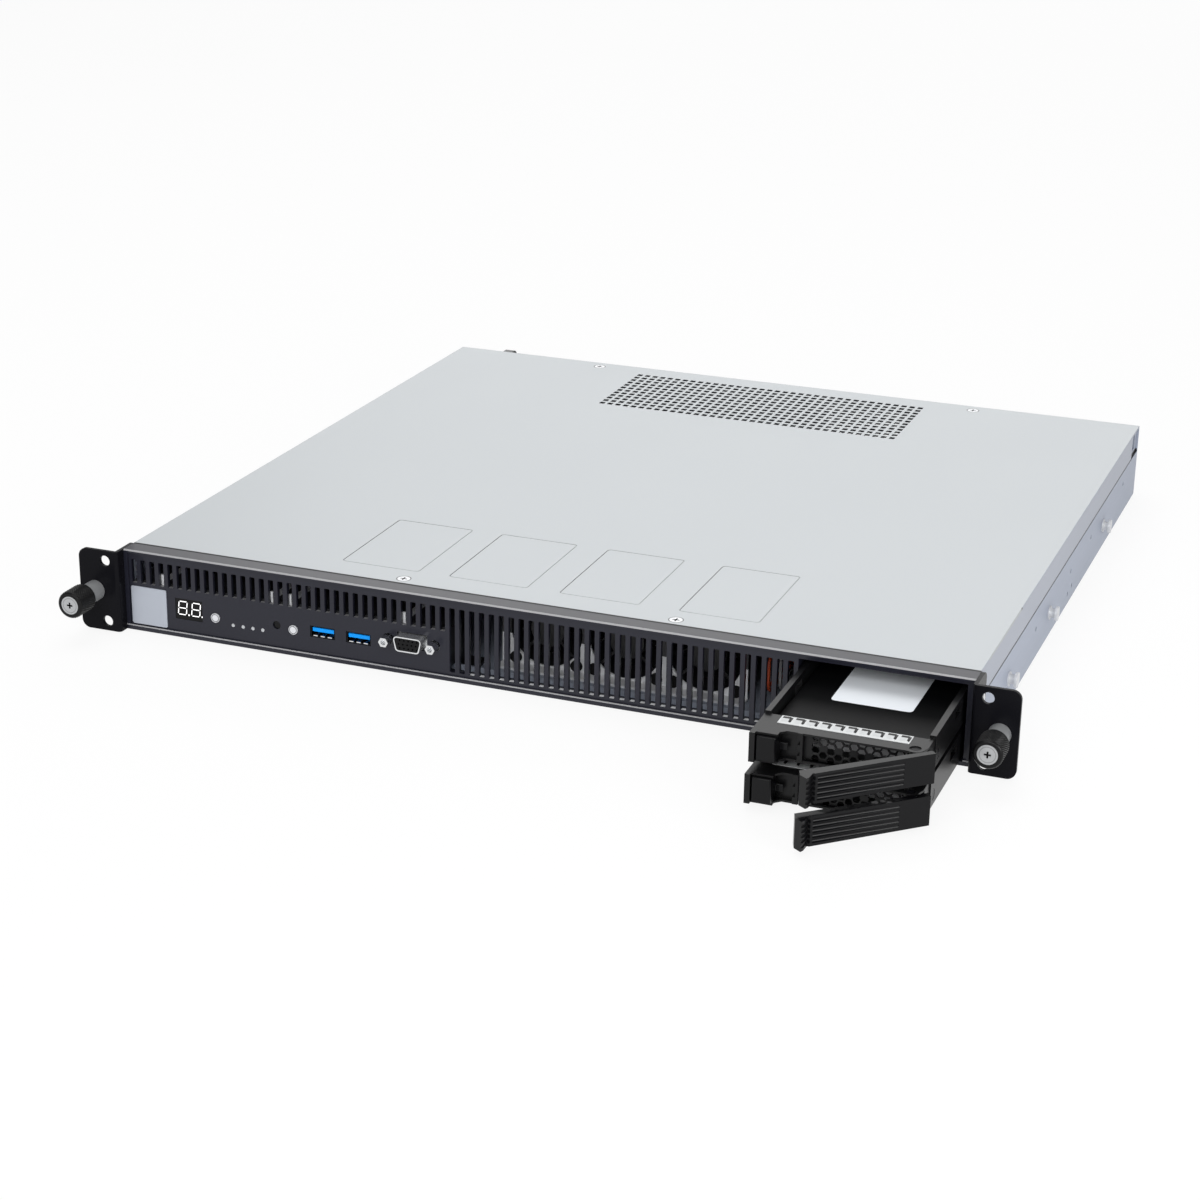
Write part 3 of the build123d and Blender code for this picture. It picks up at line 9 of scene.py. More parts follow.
import bmesh
import bpy
from mathutils import Matrix, Vector


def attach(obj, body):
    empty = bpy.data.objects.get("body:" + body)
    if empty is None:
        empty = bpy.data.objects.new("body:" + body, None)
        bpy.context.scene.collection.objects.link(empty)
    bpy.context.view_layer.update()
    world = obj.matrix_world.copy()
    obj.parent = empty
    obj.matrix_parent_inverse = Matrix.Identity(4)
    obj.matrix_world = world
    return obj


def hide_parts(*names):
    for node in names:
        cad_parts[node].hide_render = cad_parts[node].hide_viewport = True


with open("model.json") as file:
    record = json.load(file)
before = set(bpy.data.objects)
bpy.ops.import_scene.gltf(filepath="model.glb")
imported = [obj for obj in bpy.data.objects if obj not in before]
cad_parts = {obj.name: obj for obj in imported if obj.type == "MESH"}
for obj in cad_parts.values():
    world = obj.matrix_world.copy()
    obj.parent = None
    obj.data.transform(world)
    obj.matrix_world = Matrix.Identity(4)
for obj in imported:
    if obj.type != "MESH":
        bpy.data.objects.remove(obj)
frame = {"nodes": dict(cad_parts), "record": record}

log = logging.getLogger("rack_server")
MM = 0.001
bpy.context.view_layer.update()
OPAQUE = (1.0,)
# Front and underside of each drive tray, in millimetres.
TRAYS = {"upper": (-86.0, 20.5), "lower": (-90.5, 2.6)}

Colour = tuple[float, float, float]
Span = tuple[float, float]
Settings = dict[Any, Any] | None


class Level:
    """A shader value: one output socket with the usual operators."""

    def __init__(self, shader: "Shader", socket: Any) -> None:
        """Keep the socket and the shader it belongs to."""
        self.shader = shader
        self.socket = socket

    def _math(self, operation: str, *values: Any) -> "Level":
        """Add one Math node on these values.

        Args:
            operation: name of the Math operation.
            values: numbers or levels for its inputs.

        Returns:
            The node's value.
        """
        node = self.shader.node("ShaderNodeMath", {"operation": operation}, dict(enumerate(values)))
        return Level(self.shader, node.outputs[0])

    def __add__(self, other: Any) -> "Level":
        """Sum with a level or number."""
        return self._math("ADD", self, other)

    def __radd__(self, other: Any) -> "Level":
        """Sum with a number on the left."""
        return self._math("ADD", other, self)

    def __sub__(self, other: Any) -> "Level":
        """Difference with a level or number."""
        return self._math("SUBTRACT", self, other)

    def __rsub__(self, other: Any) -> "Level":
        """Difference with a number on the left."""
        return self._math("SUBTRACT", other, self)

    def __mul__(self, other: Any) -> "Level":
        """Product with a level or number."""
        return self._math("MULTIPLY", self, other)

    def __rmul__(self, other: Any) -> "Level":
        """Product with a number on the left."""
        return self._math("MULTIPLY", other, self)

    def sine(self) -> "Level":
        """Sine of the level."""
        return self._math("SINE", self)

    def absolute(self) -> "Level":
        """Size of the level without its sign."""
        return self._math("ABSOLUTE", self)

    def wrap(self, period: float) -> "Level":
        """The level's rest over a period, from 0 to the period."""
        return self._math("FLOORED_MODULO", self, period)

    def above(self, limit: float) -> "Level":
        """1 where the level is over a limit, else 0."""
        return self._math("GREATER_THAN", self, limit)

    def below(self, limit: float) -> "Level":
        """1 where the level is under a limit, else 0."""
        return self._math("LESS_THAN", self, limit)

    def within(self, low: float, high: float) -> "Level":
        """1 where the level is between two limits, else 0."""
        return self.above(low) * self.below(high)

    def root(self) -> "Level":
        """Square root of the level."""
        return self._math("SQRT", self)

    def distance(self, other: "Level") -> "Level":
        """Distance from the zero of the plane that two levels span."""
        return (self * self + other * other).root()

    def most(self, other: Any) -> "Level":
        """The larger of two levels."""
        return self._math("MAXIMUM", self, other)

    def least(self, other: Any) -> "Level":
        """The smaller of two levels."""
        return self._math("MINIMUM", self, other)


class Shader:
    """Builds one material's node tree."""

    def __init__(self, name: str) -> None:
        """Start a material with a Principled shader.

        Args:
            name: the material's name.
        """
        self.material = bpy.data.materials.new(name)
        self.material.use_nodes = True
        self.tree = self.material.node_tree
        self.surface = self.tree.nodes["Principled BSDF"]
        self.output = self.tree.nodes["Material Output"]

    def node(self, kind: str, settings: Settings = None, values: Settings = None) -> Any:
        """Add a node, set it up and fill or link its inputs.

        Args:
            kind: the node's type.
            settings: attributes that are set first.
            values: numbers, colours, sockets or levels by input.

        Returns:
            The node.
        """
        made = self.tree.nodes.new(kind)
        for key, value in (settings or {}).items():
            setattr(made, key, value)
        for key, value in (values or {}).items():
            self.feed(made.inputs[key], value)
        return made

    def feed(self, socket: Any, value: Any) -> None:
        """Set a socket's value, or link it if the value is a socket or level.

        Args:
            socket: the input socket.
            value: a number, colour, socket or level.
        """
        if isinstance(value, Level):
            self.tree.links.new(value.socket, socket)
        elif isinstance(value, bpy.types.NodeSocket):
            self.tree.links.new(value, socket)
        else:
            socket.default_value = value

    def place(self) -> tuple[Level, Level, Level, Any]:
        """Object coordinates as three levels and one vector socket.

        Returns:
            x, y and z levels and the vector's socket.
        """
        coordinates = self.node("ShaderNodeTexCoord").outputs["Object"]
        parts = self.node("ShaderNodeSeparateXYZ", None, {0: coordinates})
        x, y, z = (Level(self, socket) for socket in parts.outputs)
        return x, y, z, coordinates

    def noise(self, vector: Any, scale: float, detail: float = 2.0) -> Level:
        """Smooth noise from 0 to 1 on a vector."""
        values = {"Vector": vector, "Scale": scale, "Detail": detail}
        return Level(self, self.node("ShaderNodeTexNoise", None, values).outputs[0])

    def blend(self, factor: Level, first: Any, second: Any) -> Any:
        """Mix two colours by a factor.

        Args:
            factor: 0 for the first colour, 1 for the second.
            first: a colour or its socket.
            second: a colour or its socket.

        Returns:
            The socket of the mixed colour.
        """
        values = {0: factor, 6: first, 7: second}
        return self.node("ShaderNodeMix", {"data_type": "RGBA"}, values).outputs[2]

    def bump(self, height: Level, distance: float, strength: float = 1.0) -> None:
        """Send a height through a Bump node to the normal.

        Args:
            height: a level from 0 to 1.
            distance: what a height of 1 stands for, in metres.
            strength: share of the bump that is used.
        """
        values = {"Height": height, "Distance": distance, "Strength": strength}
        made = self.node("ShaderNodeBump", None, values)
        self.feed(self.surface.inputs["Normal"], made.outputs[0])


@dataclass(frozen=True)
class Finish:
    """A surface finish: colour, gloss and the fine grain on it."""

    name: str
    slot: str
    colour: Colour
    roughness: float
    metallic: float = 0.0
    coat: float = 0.0
    mottle: float = 0.04
    grain: float = 900.0
    depth: float = 0.00002
    specular: float = 0.5
    broad_noise: ClassVar[Span] = (14.0, 3.0)
    grain_detail: ClassVar[float] = 1.0
    spread_share: ClassVar[float] = 0.12

    def colours(self) -> tuple[tuple[float, ...], tuple[float, ...]]:
        """The two tones of the mottle.

        Returns:
            The darker and the lighter tone of the colour.
        """
        low = tuple(part * (1 - self.mottle) for part in self.colour) + OPAQUE
        high = tuple(min(1.0, part * (1 + self.mottle)) for part in self.colour) + OPAQUE
        return low, high

    def dress(self, shader: Shader) -> None:
        """Set colour, roughness and grain on the shader.

        Args:
            shader: the shader to dress.
        """
        _x, _y, _z, vector = shader.place()
        broad = shader.noise(vector, *self.broad_noise)
        fine = shader.noise(vector, self.grain, self.grain_detail)
        low, high = self.colours()
        inputs = shader.surface.inputs
        shader.feed(inputs["Base Color"], shader.blend(broad, low, high))
        spread = self.spread_share * self.roughness
        shader.feed(inputs["Roughness"], (self.roughness - spread / 2) + broad * spread)
        inputs["Metallic"].default_value = self.metallic
        inputs["Specular IOR Level"].default_value = self.specular
        inputs["Coat Weight"].default_value = self.coat
        shader.bump(fine, self.depth)

    def stain(self, shader: Shader, mask: Level, colour: Colour) -> None:
        """Lay another colour over the base colour where the mask is 1.

        Args:
            shader: the shader to change.
            mask: a level from 0 to 1.
            colour: red, green and blue of the stain.
        """
        socket = shader.surface.inputs["Base Color"]
        under = socket.links[0].from_socket
        shader.feed(socket, shader.blend(mask, under, colour + OPAQUE))

    def build(self) -> bpy.types.Material:
        """Make the material."""
        shader = Shader(self.name)
        self.dress(shader)
        return shader.material


@dataclass(frozen=True)
class BrushedSteel(Finish):
    """Rolled sheet with fine lines along one direction."""

    lines: Colour = (30.0, 1200.0, 1200.0)
    swing: ClassVar[float] = 0.06
    line_depth: ClassVar[float] = 0.00001

    def dress(self, shader: Shader) -> None:
        """Add stretched lines to the roughness and the normal.

        Args:
            shader: the shader to dress.
        """
        super().dress(shader)
        _x, _y, _z, vector = shader.place()
        scaled = {0: vector, 1: self.lines}
        stretched = shader.node("ShaderNodeVectorMath", {"operation": "MULTIPLY"}, scaled)
        streak = shader.noise(stretched.outputs[0], 1.0)
        gloss = (self.roughness - self.swing) + streak * (2 * self.swing)
        shader.feed(shader.surface.inputs["Roughness"], gloss)
        shader.bump(streak, self.line_depth)


@dataclass(frozen=True)
class CoverPaint(Finish):
    """Light paint on the cover's top, bare sheet on its flanges, painted shade in its cuts, seams and
    outlines.
    """

    flange: Colour = (0.36, 0.385, 0.445)
    # painted shade: near-black colour for the seams at the flange hem and front edge and for the vent
    # hole walls
    painted_gap_shade: Colour = (0.035, 0.035, 0.037)
    # painted shade for the outline edges and the rings round the screw heads
    line: Colour = (0.16, 0.165, 0.17)
    # painted shade for the floors of the outline grooves
    faint: Colour = (0.41, 0.43, 0.44)
    sunk_z: Span = (0.0421, 0.04314)
    skin_z: float = 0.042
    flange_x: float = 0.21878
    hem: float = 0.0291
    seam: float = 0.0011
    field_x: float = 0.0926
    field_y: Span = (0.3265, 0.3985)
    outline_y: Span = (0.016, 0.088)
    left_edges: tuple[float, ...] = (-0.1102, -0.0520, 0.0066, 0.0679)
    left_line: Span = (0.0001, 0.00062)
    back_edge: float = 0.0860
    back_line: float = 0.0006
    screws: tuple[Span, ...] = ((0.0708, 0.0067), (0.1204, 0.404))
    ring: Span = (0.0032, 0.0038)
    ring_z: float = 0.0425

    def dress(self, shader: Shader) -> None:
        """Stain the flanges, and paint shade on the seams, the punched holes, the embossed outlines and
        round the screw heads.

        Args:
            shader: the shader to dress.
        """
        super().dress(shader)
        x, y, z, _vector = shader.place()
        side = x.absolute()
        sunk = z.within(*self.sunk_z)
        field_area = side.below(self.field_x) * y.within(*self.field_y)
        front = y.within(*self.outline_y)
        before, after = self.left_line
        strong = y.above(self.back_edge - self.back_line)
        for edge in self.left_edges:
            strong = strong.most(x.within(edge - before, edge + after))
        self.stain(shader, side.above(self.flange_x), self.flange)
        # painted shade in the seam along the flange's lower edge and along the cover's front edge
        self.stain(shader, side.above(self.flange_x) * z.below(self.hem), self.painted_gap_shade)
        self.stain(shader, y.below(self.seam) * z.above(self.skin_z), self.painted_gap_shade)
        # painted shade ring round each cover screw head
        for across, along in self.screws:
            ring = (side - across).distance(y - along).within(*self.ring)
            self.stain(shader, ring * z.above(self.ring_z), self.line)
        # painted shade on the walls of the punched vent holes
        self.stain(shader, sunk * field_area, self.painted_gap_shade)
        # painted shade on the outline groove floors, darker along their left and rear edges
        self.stain(shader, sunk * front, self.faint)
        self.stain(shader, sunk * front * strong, self.line)


@dataclass(frozen=True)
class SideSheet(BrushedSteel):
    """Galvanised side with painted shade in the seam under the cover's flange."""

    dark: Colour = (0.02, 0.02, 0.022)
    step_z: Span = (0.0276, 0.0296)
    step_x: Span = (0.2170, 0.21885)

    def dress(self, shader: Shader) -> None:
        """Paint shade on the joggle step.

        Args:
            shader: the shader to dress.
        """
        super().dress(shader)
        x, _y, z, _vector = shader.place()
        step = z.within(*self.step_z) * x.absolute().within(*self.step_x)
        # painted shade on the joggle step under the cover's flange
        self.stain(shader, step, self.dark)


@dataclass(frozen=True)
class BezelPlastic(Finish):
    """Dark moulded bezel with painted highlights on its edges and painted light on its slot floors."""

    # painted highlight colour for the top front edge and the lower rim
    painted_highlight: Colour = (0.34, 0.34, 0.35)
    # painted light: near-white colour for the floors of the long slots
    floor: Colour = (0.85, 0.86, 0.88)
    # dimmer painted light for the floors of the short slots
    shade: Colour = (0.22, 0.22, 0.23)
    front: float = -0.0096
    top: float = 0.043
    edge: float = 0.0007
    rim: float = 0.0004
    rim_z: Span = (0.0021, 0.0028)
    lip: float = 0.0014
    long_floor: Span = (0.00436, 0.00446)
    long_x: Span = (-0.03, 0.14)
    short_floor: Span = (0.02516, 0.02526)
    short_x: Span = (-0.2154, -0.042)

    def dress(self, shader: Shader) -> None:
        """Paint highlights on the top edge and the lower rim, and paint light on the floors of the slots.

        Args:
            shader: the shader to dress.
        """
        super().dress(shader)
        x, y, z, _vector = shader.place()
        top_edge = y.below(self.front + self.edge) * z.above(self.top - self.edge)
        low_rim = y.below(self.front + self.rim) * z.within(*self.rim_z)
        # painted highlight along the top front edge and the lower rim
        self.stain(shader, top_edge.most(low_rim), self.painted_highlight)
        behind = y.above(self.front + self.lip)
        long_floors = z.within(*self.long_floor) * behind * x.within(*self.long_x)
        short_floors = z.within(*self.short_floor) * behind * x.within(*self.short_x)
        # painted light on the slot floors behind the bezel face, dimmer on the short slots
        self.stain(shader, long_floors, self.floor)
        self.stain(shader, short_floors, self.shade)


@dataclass(frozen=True)
class BracketSteel(Finish):
    """Bright bracket steel with painted shade on all but the lit tabs behind the slots."""

    tabs: tuple[float, ...] = (-0.2005, -0.1389, -0.1286, -0.0663)
    reach: float = 0.0022
    painted_shade: Colour = (0.018, 0.018, 0.02)

    def dress(self, shader: Shader) -> None:
        """Paint shade on everything but the tabs.

        Args:
            shader: the shader to dress.
        """
        super().dress(shader)
        x, _y, _z, _vector = shader.place()
        rest = (x - self.tabs[0]).absolute()
        for tab in self.tabs[1:]:
            rest = rest.least((x - tab).absolute())
        # painted shade: near-black everywhere but the lit tabs
        self.stain(shader, rest.above(self.reach), self.painted_shade)


@dataclass(frozen=True)
class FanPlate(Finish):
    """Bright fan bracket with a painted shadow on its upper part."""

    # height of the painted shadow's lower edge
    limit: float = 0.0175
    painted_shade: Colour = (0.05, 0.05, 0.055)

    def dress(self, shader: Shader) -> None:
        """Paint the shadow on the part between and above the fans.

        Args:
            shader: the shader to dress.
        """
        super().dress(shader)
        _x, _y, z, _vector = shader.place()
        # painted shadow: the upper part lies in the shade of the bezel and cover
        self.stain(shader, z.above(self.limit), self.painted_shade)


@dataclass(frozen=True)
class TurnedFace(Finish):
    """Thumbscrew face: turned rings, with painted shade in the groove and the cross recess."""

    centre: Span = (0.23255, 0.0212)
    face: float = -0.0403
    groove: Span = (0.0035, 0.0039)
    painted_groove_shade: Colour = (0.30, 0.30, 0.31)
    recess_y: Span = (0.0003, 0.0019)
    recess_radius: float = 0.0022
    painted_recess_shade: Colour = (0.01, 0.01, 0.01)
    rings: float = 22000.0
    ring_depth: float = 0.00001
    ring_strength: float = 0.6

    def dress(self, shader: Shader) -> None:
        """Add rings to the normal and paint shade into the groove and the recess.

        Args:
            shader: the shader to dress.
        """
        super().dress(shader)
        x, y, z, _vector = shader.place()
        across, raised = self.centre
        radius = (x.absolute() - across).distance(z - raised)
        shallow, deep = self.recess_y
        recess = y.within(self.face + shallow, self.face + deep) * radius.below(self.recess_radius)
        # painted shade in the turned groove and in the cross recess
        self.stain(shader, radius.within(*self.groove), self.painted_groove_shade)
        self.stain(shader, recess, self.painted_recess_shade)
        shader.bump((radius * self.rings).sine(), self.ring_depth, self.ring_strength)


@dataclass(frozen=True)
class ScrewHeads(Finish):
    """Zinc screws with painted shade in their cross recess."""

    recess_z: Span = (0.0425, 0.0431)
    dark: Colour = (0.03, 0.03, 0.03)

    def dress(self, shader: Shader) -> None:
        """Paint shade into the recess of the cover screws.

        Args:
            shader: the shader to dress.
        """
        super().dress(shader)
        _x, _y, z, _vector = shader.place()
        # painted shade in the cross recess
        self.stain(shader, z.within(*self.recess_z), self.dark)


@dataclass(frozen=True)
class SocketSteel(Finish):
    """Dark USB shells and a bright VGA shell in one node."""

    split: float = -0.079
    dark: Colour = (0.02, 0.02, 0.022)

    def dress(self, shader: Shader) -> None:
        """Stain the shells left of the split.

        Args:
            shader: the shader to dress.
        """
        super().dress(shader)
        x, _y, _z, _vector = shader.place()
        # the USB shells left of the split are coloured dark
        self.stain(shader, x.below(self.split), self.dark)


@dataclass(frozen=True)
class PushCap(Finish):
    """Round white cap with painted shade on a ring near its edge."""

    centres: tuple[Span, Span] = ((-0.1682, 0.0131), (-0.1245, 0.0134))
    rim: Span = (0.0017, 0.0021)
    painted_rim_shade: Colour = (0.10, 0.10, 0.11)

    def dress(self, shader: Shader) -> None:
        """Paint the shade ring from the distance to the nearer centre.

        Args:
            shader: the shader to dress.
        """
        super().dress(shader)
        x, _y, z, _vector = shader.place()
        first, second = [(x - across).distance(z - raised) for across, raised in self.centres]
        # painted shade on the cap's rounded edge
        self.stain(shader, first.least(second).within(*self.rim), self.painted_rim_shade)


@dataclass(frozen=True)
class DriveCase(Finish):
    """Black lid over a bare aluminium case."""

    cases: tuple[Span, Span] = ((0.0030, 0.0110), (0.0210, 0.0289))
    front: float = -0.055
    bare: Colour = (0.30, 0.30, 0.31)

    def dress(self, shader: Shader) -> None:
        """Stain the case below each lid.

        Args:
            shader: the shader to dress.
        """
        super().dress(shader)
        _x, y, z, _vector = shader.place()
        lower, upper = self.cases
        case = z.within(*lower).most(z.within(*upper))
        self.stain(shader, case * y.below(self.front), self.bare)


@dataclass(frozen=True)
class SpringStrip(Finish):
    """Bright strip with painted shadow along two sides of each spring finger."""

    start: float = 0.1454
    pitch: float = 0.00593
    finger: Span = (0.00116, 0.00477)
    reach: Span = (0.0166, 0.0208)
    side_edge: float = 0.0005
    rear_edge: float = 0.0017
    split: float = 0.030
    dark: Colour = (0.03, 0.03, 0.03)

    def dress(self, shader: Shader) -> None:
        """Paint shadow on the right and the rear edge of each finger.

        Args:
            shader: the shader to dress.
        """
        super().dress(shader)
        x, y, z, _vector = shader.place()
        across = (x - self.start).wrap(self.pitch)
        lower_front, upper_front = TRAYS["lower"][0] * MM, TRAYS["upper"][0] * MM
        along = (y - lower_front) - z.above(self.split) * (upper_front - lower_front)
        right_edge, end = self.finger[1], self.reach[1]
        right = across.within(right_edge - self.side_edge, right_edge) * along.within(*self.reach)
        rear = across.within(*self.finger) * along.within(end - self.rear_edge, end)
        # painted shadow widening the dark gaps at the right and rear of each finger
        self.stain(shader, right.most(rear), self.dark)


@dataclass(frozen=True)
class Glow(Finish):
    """A lit surface."""

    strength: float = 1.0

    def dress(self, shader: Shader) -> None:
        """Colour the surface and let it shine.

        Args:
            shader: the shader to dress.
        """
        super().dress(shader)
        shader.surface.inputs["Emission Color"].default_value = self.colour + OPAQUE
        shader.surface.inputs["Emission Strength"].default_value = self.strength


@dataclass(frozen=True)
class BoardFinish(Finish):
    """Circuit board: solder mask with fine copper traces."""

    cells: ClassVar[float] = 180.0
    trace: ClassVar[float] = 0.42
    lift: ClassVar[Span] = (2.2, 0.01)

    def dress(self, shader: Shader) -> None:
        """Draw traces along the borders of cells in the colour.

        Args:
            shader: the shader to dress.
        """
        super().dress(shader)
        _x, _y, _z, vector = shader.place()
        settings = {"distance": "CHEBYCHEV", "feature": "F1"}
        cell = shader.node("ShaderNodeTexVoronoi", settings, {"Vector": vector, "Scale": self.cells})
        line = Level(shader, cell.outputs["Distance"]).above(self.trace)
        low, _high = self.colours()
        factor, rise = self.lift
        light = tuple(min(1.0, part * factor + rise) for part in self.colour) + OPAQUE
        shader.feed(shader.surface.inputs["Base Color"], shader.blend(line, low, light))


class Coat(Enum):
    """The finishes of the object."""

    COVER = CoverPaint(
        "cover paint", "cover_paint", (0.495, 0.522, 0.54), 0.45, 0.2, mottle=0.012, depth=0.00001
    )
    SIDE = SideSheet(
        "galvanised side",
        "zinc_steel",
        (0.35, 0.385, 0.465),
        0.5,
        0.15,
        mottle=0.03,
        lines=(1200.0, 30.0, 1200.0),
    )
    ZINC = BrushedSteel("zinc sheet", "zinc_steel", (0.62, 0.64, 0.66), 0.34, 0.8, mottle=0.05)
    # the bracket's material paints shade on all but its lit tabs
    TABS = BracketSteel("bracket with painted shade", "zinc_steel", (0.80, 0.81, 0.83), 0.4, 0.2, mottle=0.05)
    PLATE = FanPlate("bright plate", "zinc_steel", (0.86, 0.87, 0.89), 0.4, 0.15, mottle=0.05)
    BEZEL = BezelPlastic(
        "bezel plastic",
        "bezel_plastic",
        (0.0125, 0.013, 0.0215),
        0.34,
        coat=0.16,
        depth=0.000006,
        specular=0.25,
    )
    EAR = Finish(
        "black satin paint",
        "black_paint",
        (0.0055, 0.0055, 0.0072),
        0.26,
        grain=1400.0,
        depth=0.00001,
        specular=0.06,
    )
    TRAY = Finish(
        "tray paint",
        "black_paint",
        (0.0045, 0.0045, 0.005),
        0.34,
        grain=1400.0,
        depth=0.00001,
        specular=0.25,
    )
    BLACK = Finish(
        "black plastic",
        "black_plastic",
        (0.0025, 0.0025, 0.0032),
        0.3,
        coat=0.2,
        depth=0.000004,
        specular=0.1,
    )
    DARK = Finish("cage paint", "black_paint", (0.004, 0.004, 0.0045), 0.6, specular=0.2)
    STEEL = Finish("bright steel", "bright_steel", (0.74, 0.75, 0.76), 0.22, 1.0, mottle=0.03)
    HEADS = ScrewHeads("zinc screws", "bright_steel", (0.74, 0.75, 0.77), 0.35, 0.5, mottle=0.02)
    FERRULE = BrushedSteel(
        "turned ferrule", "bright_steel", (0.40, 0.41, 0.42), 0.36, 0.5, lines=(40.0, 2600.0, 40.0)
    )
    STUD = Finish("plated stud", "bright_steel", (0.62, 0.63, 0.65), 0.42, 0.3, mottle=0.02)
    FAN = Finish("fan plastic", "black_plastic", (0.014, 0.014, 0.015), 0.35, depth=0.000006)
    FACE = TurnedFace("turned steel", "bright_steel", (0.46, 0.47, 0.48), 0.3, 0.85, mottle=0.02)
    SOCKET = SocketSteel("socket shells", "bright_steel", (0.74, 0.75, 0.76), 0.24, 0.9, mottle=0.02)
    STRIP = SpringStrip("spring steel", "bright_steel", (0.56, 0.575, 0.58), 0.34, 0.45, mottle=0.02)
    BADGE = Finish("satin silver", "badge_silver", (0.44, 0.47, 0.53), 0.36, 0.45, mottle=0.02)
    DISPLAY = Finish(
        "display window", "display_black", (0.002, 0.002, 0.0025), 0.25, mottle=0.0, specular=0.2
    )
    WHITE = Finish("white plastic", "white_plastic", (0.80, 0.81, 0.83), 0.25, mottle=0.01)
    CAP = PushCap("button cap", "white_plastic", (0.70, 0.71, 0.74), 0.22, 0.3, mottle=0.01)
    LENS = Finish("clear lens", "white_plastic", (0.45, 0.46, 0.48), 0.15, mottle=0.0)
    BLUE = Finish("blue plastic", "usb_blue", (0.0, 0.30, 0.90), 0.4, mottle=0.02, specular=0.2)
    BOARD = BoardFinish("circuit board", "board_green", (0.012, 0.05, 0.028), 0.4)
    RUBBER = Finish("black rubber", "rubber_black", (0.006, 0.006, 0.006), 0.75, specular=0.2)
    DRIVE = DriveCase(
        "drive lid", "drive_black", (0.003, 0.003, 0.0034), 0.4, depth=0.000006, specular=0.07
    )
    SINK = BrushedSteel("milled aluminium", "sink_aluminium", (0.7, 0.71, 0.72), 0.3, 1.0)
    RED = Finish("orange-red wire", "wire_red", (0.42, 0.06, 0.02), 0.4)
    GREY = Finish("grey wire", "wire_grey", (0.25, 0.25, 0.26), 0.4)
    LABEL = Finish(
        "plain label", "white_plastic", (0.91, 0.95, 1.0), 0.4, coat=0.3, mottle=0.01, depth=0.0
    )
    DIGIT = Glow("lit segment", "white_plastic", (0.9, 0.9, 0.9), 0.4, strength=0.8)
    KNURL = Finish(
        "knurled sleeve", "black_plastic", (0.0035, 0.0035, 0.004), 0.3, depth=0.000006, specular=0.2
    )


class Palette:
    """Makes each finish once and gives it out."""

    def __init__(self) -> None:
        """Start with no materials."""
        self.made: dict[Coat, bpy.types.Material] = {}

    def get(self, coat: Coat) -> bpy.types.Material:
        """The material of a finish.

        Args:
            coat: the finish.

        Returns:
            Its material.
        """
        if coat not in self.made:
            self.made[coat] = coat.value.build()
        return self.made[coat]


PALETTE = Palette()

NODE_COATS: dict[str, Coat] = {
    "base_pan": Coat.SIDE,
    "top_cover": Coat.COVER,
    "cross_rail": Coat.ZINC,
    "chassis_screws": Coat.HEADS,
    "front_bezel": Coat.BEZEL,
    "left_ear": Coat.EAR,
    "right_ear": Coat.EAR,
    "thumb_ferrules": Coat.FERRULE,
    "left_knob": Coat.KNURL,
    "right_knob": Coat.KNURL,
    "left_captive_screw": Coat.FACE,
    "right_captive_screw": Coat.FACE,
    "rail_studs": Coat.STUD,
    "badge_plate": Coat.BADGE,
    "display_module": Coat.DISPLAY,
    "indicator_lenses": Coat.LENS,
    "power_button": Coat.CAP,
    "location_button": Coat.CAP,
    "reset_button": Coat.BLACK,
    "front_board": Coat.BOARD,
    "board_posts": Coat.STEEL,
    "panel_bracket": Coat.TABS,
    "socket_shells": Coat.SOCKET,
    "usb_tongues": Coat.BLUE,
    "vga_insert": Coat.BLACK,
    "vga_jackscrews": Coat.STEEL,
    "fan_bracket": Coat.PLATE,
    "fan_frames": Coat.FAN,
    "fan_rotor_1": Coat.FAN,
    "fan_rotor_2": Coat.FAN,
    "fan_rotor_3": Coat.FAN,
    "fan_mounts": Coat.RUBBER,
    "drive_cage": Coat.DARK,
    "backplane": Coat.BOARD,
    "mainboard": Coat.BOARD,
    "board_sockets": Coat.BLACK,
    "heat_sink": Coat.SINK,
    "memory_modules": Coat.BOARD,
    "rear_ports": Coat.STEEL,
    "slot_blank": Coat.STEEL,
    "supply_case": Coat.ZINC,
    "supply_fan_rotor": Coat.BLACK,
    "power_inlet": Coat.BLACK,
    "supply_handle": Coat.BLACK,
    "wire_plugs": Coat.WHITE,
    "fan_wires_red": Coat.RED,
    "fan_wires_grey": Coat.GREY,
    "supply_cable": Coat.BLACK,
}
for _word in ("upper", "lower"):
    NODE_COATS[_word + "_tray"] = Coat.TRAY
    NODE_COATS[_word + "_drive"] = Coat.DRIVE
    NODE_COATS[_word + "_fasteners"] = Coat.EAR
    NODE_COATS[_word + "_shield_strip"] = Coat.STRIP
    NODE_COATS[_word + "_release"] = Coat.BLACK
    NODE_COATS[_word + "_lever"] = Coat.BLACK


def body_of_node(node: str) -> str:
    """The body that holds a CAD node.

    Args:
        node: the node's name.

    Returns:
        The body's name.
    """
    for body, nodes in frame["record"]["behaviour"]["bodies"].items():
        if node in nodes:
            return body
    raise KeyError(node)


def coat_mesh(mesh: bpy.types.Mesh, coat: Coat) -> None:
    """Give a mesh one finish alone."""
    mesh.materials.clear()
    mesh.materials.append(PALETTE.get(coat))


def finish_piece(piece: bpy.types.Object, coat: Coat, body: str, *nodes: str) -> None:
    """Dress a piece, tie it to its body and let it stand for CAD nodes.

    Args:
        piece: the object at the origin.
        coat: its finish.
        body: the body it rides on.
        nodes: CAD nodes that it stands for.
    """
    coat_mesh(piece.data, coat)
    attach(piece, body)
    if nodes:
        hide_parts(*nodes)
    log.info("%s made, %d faces", piece.name, len(piece.data.polygons))


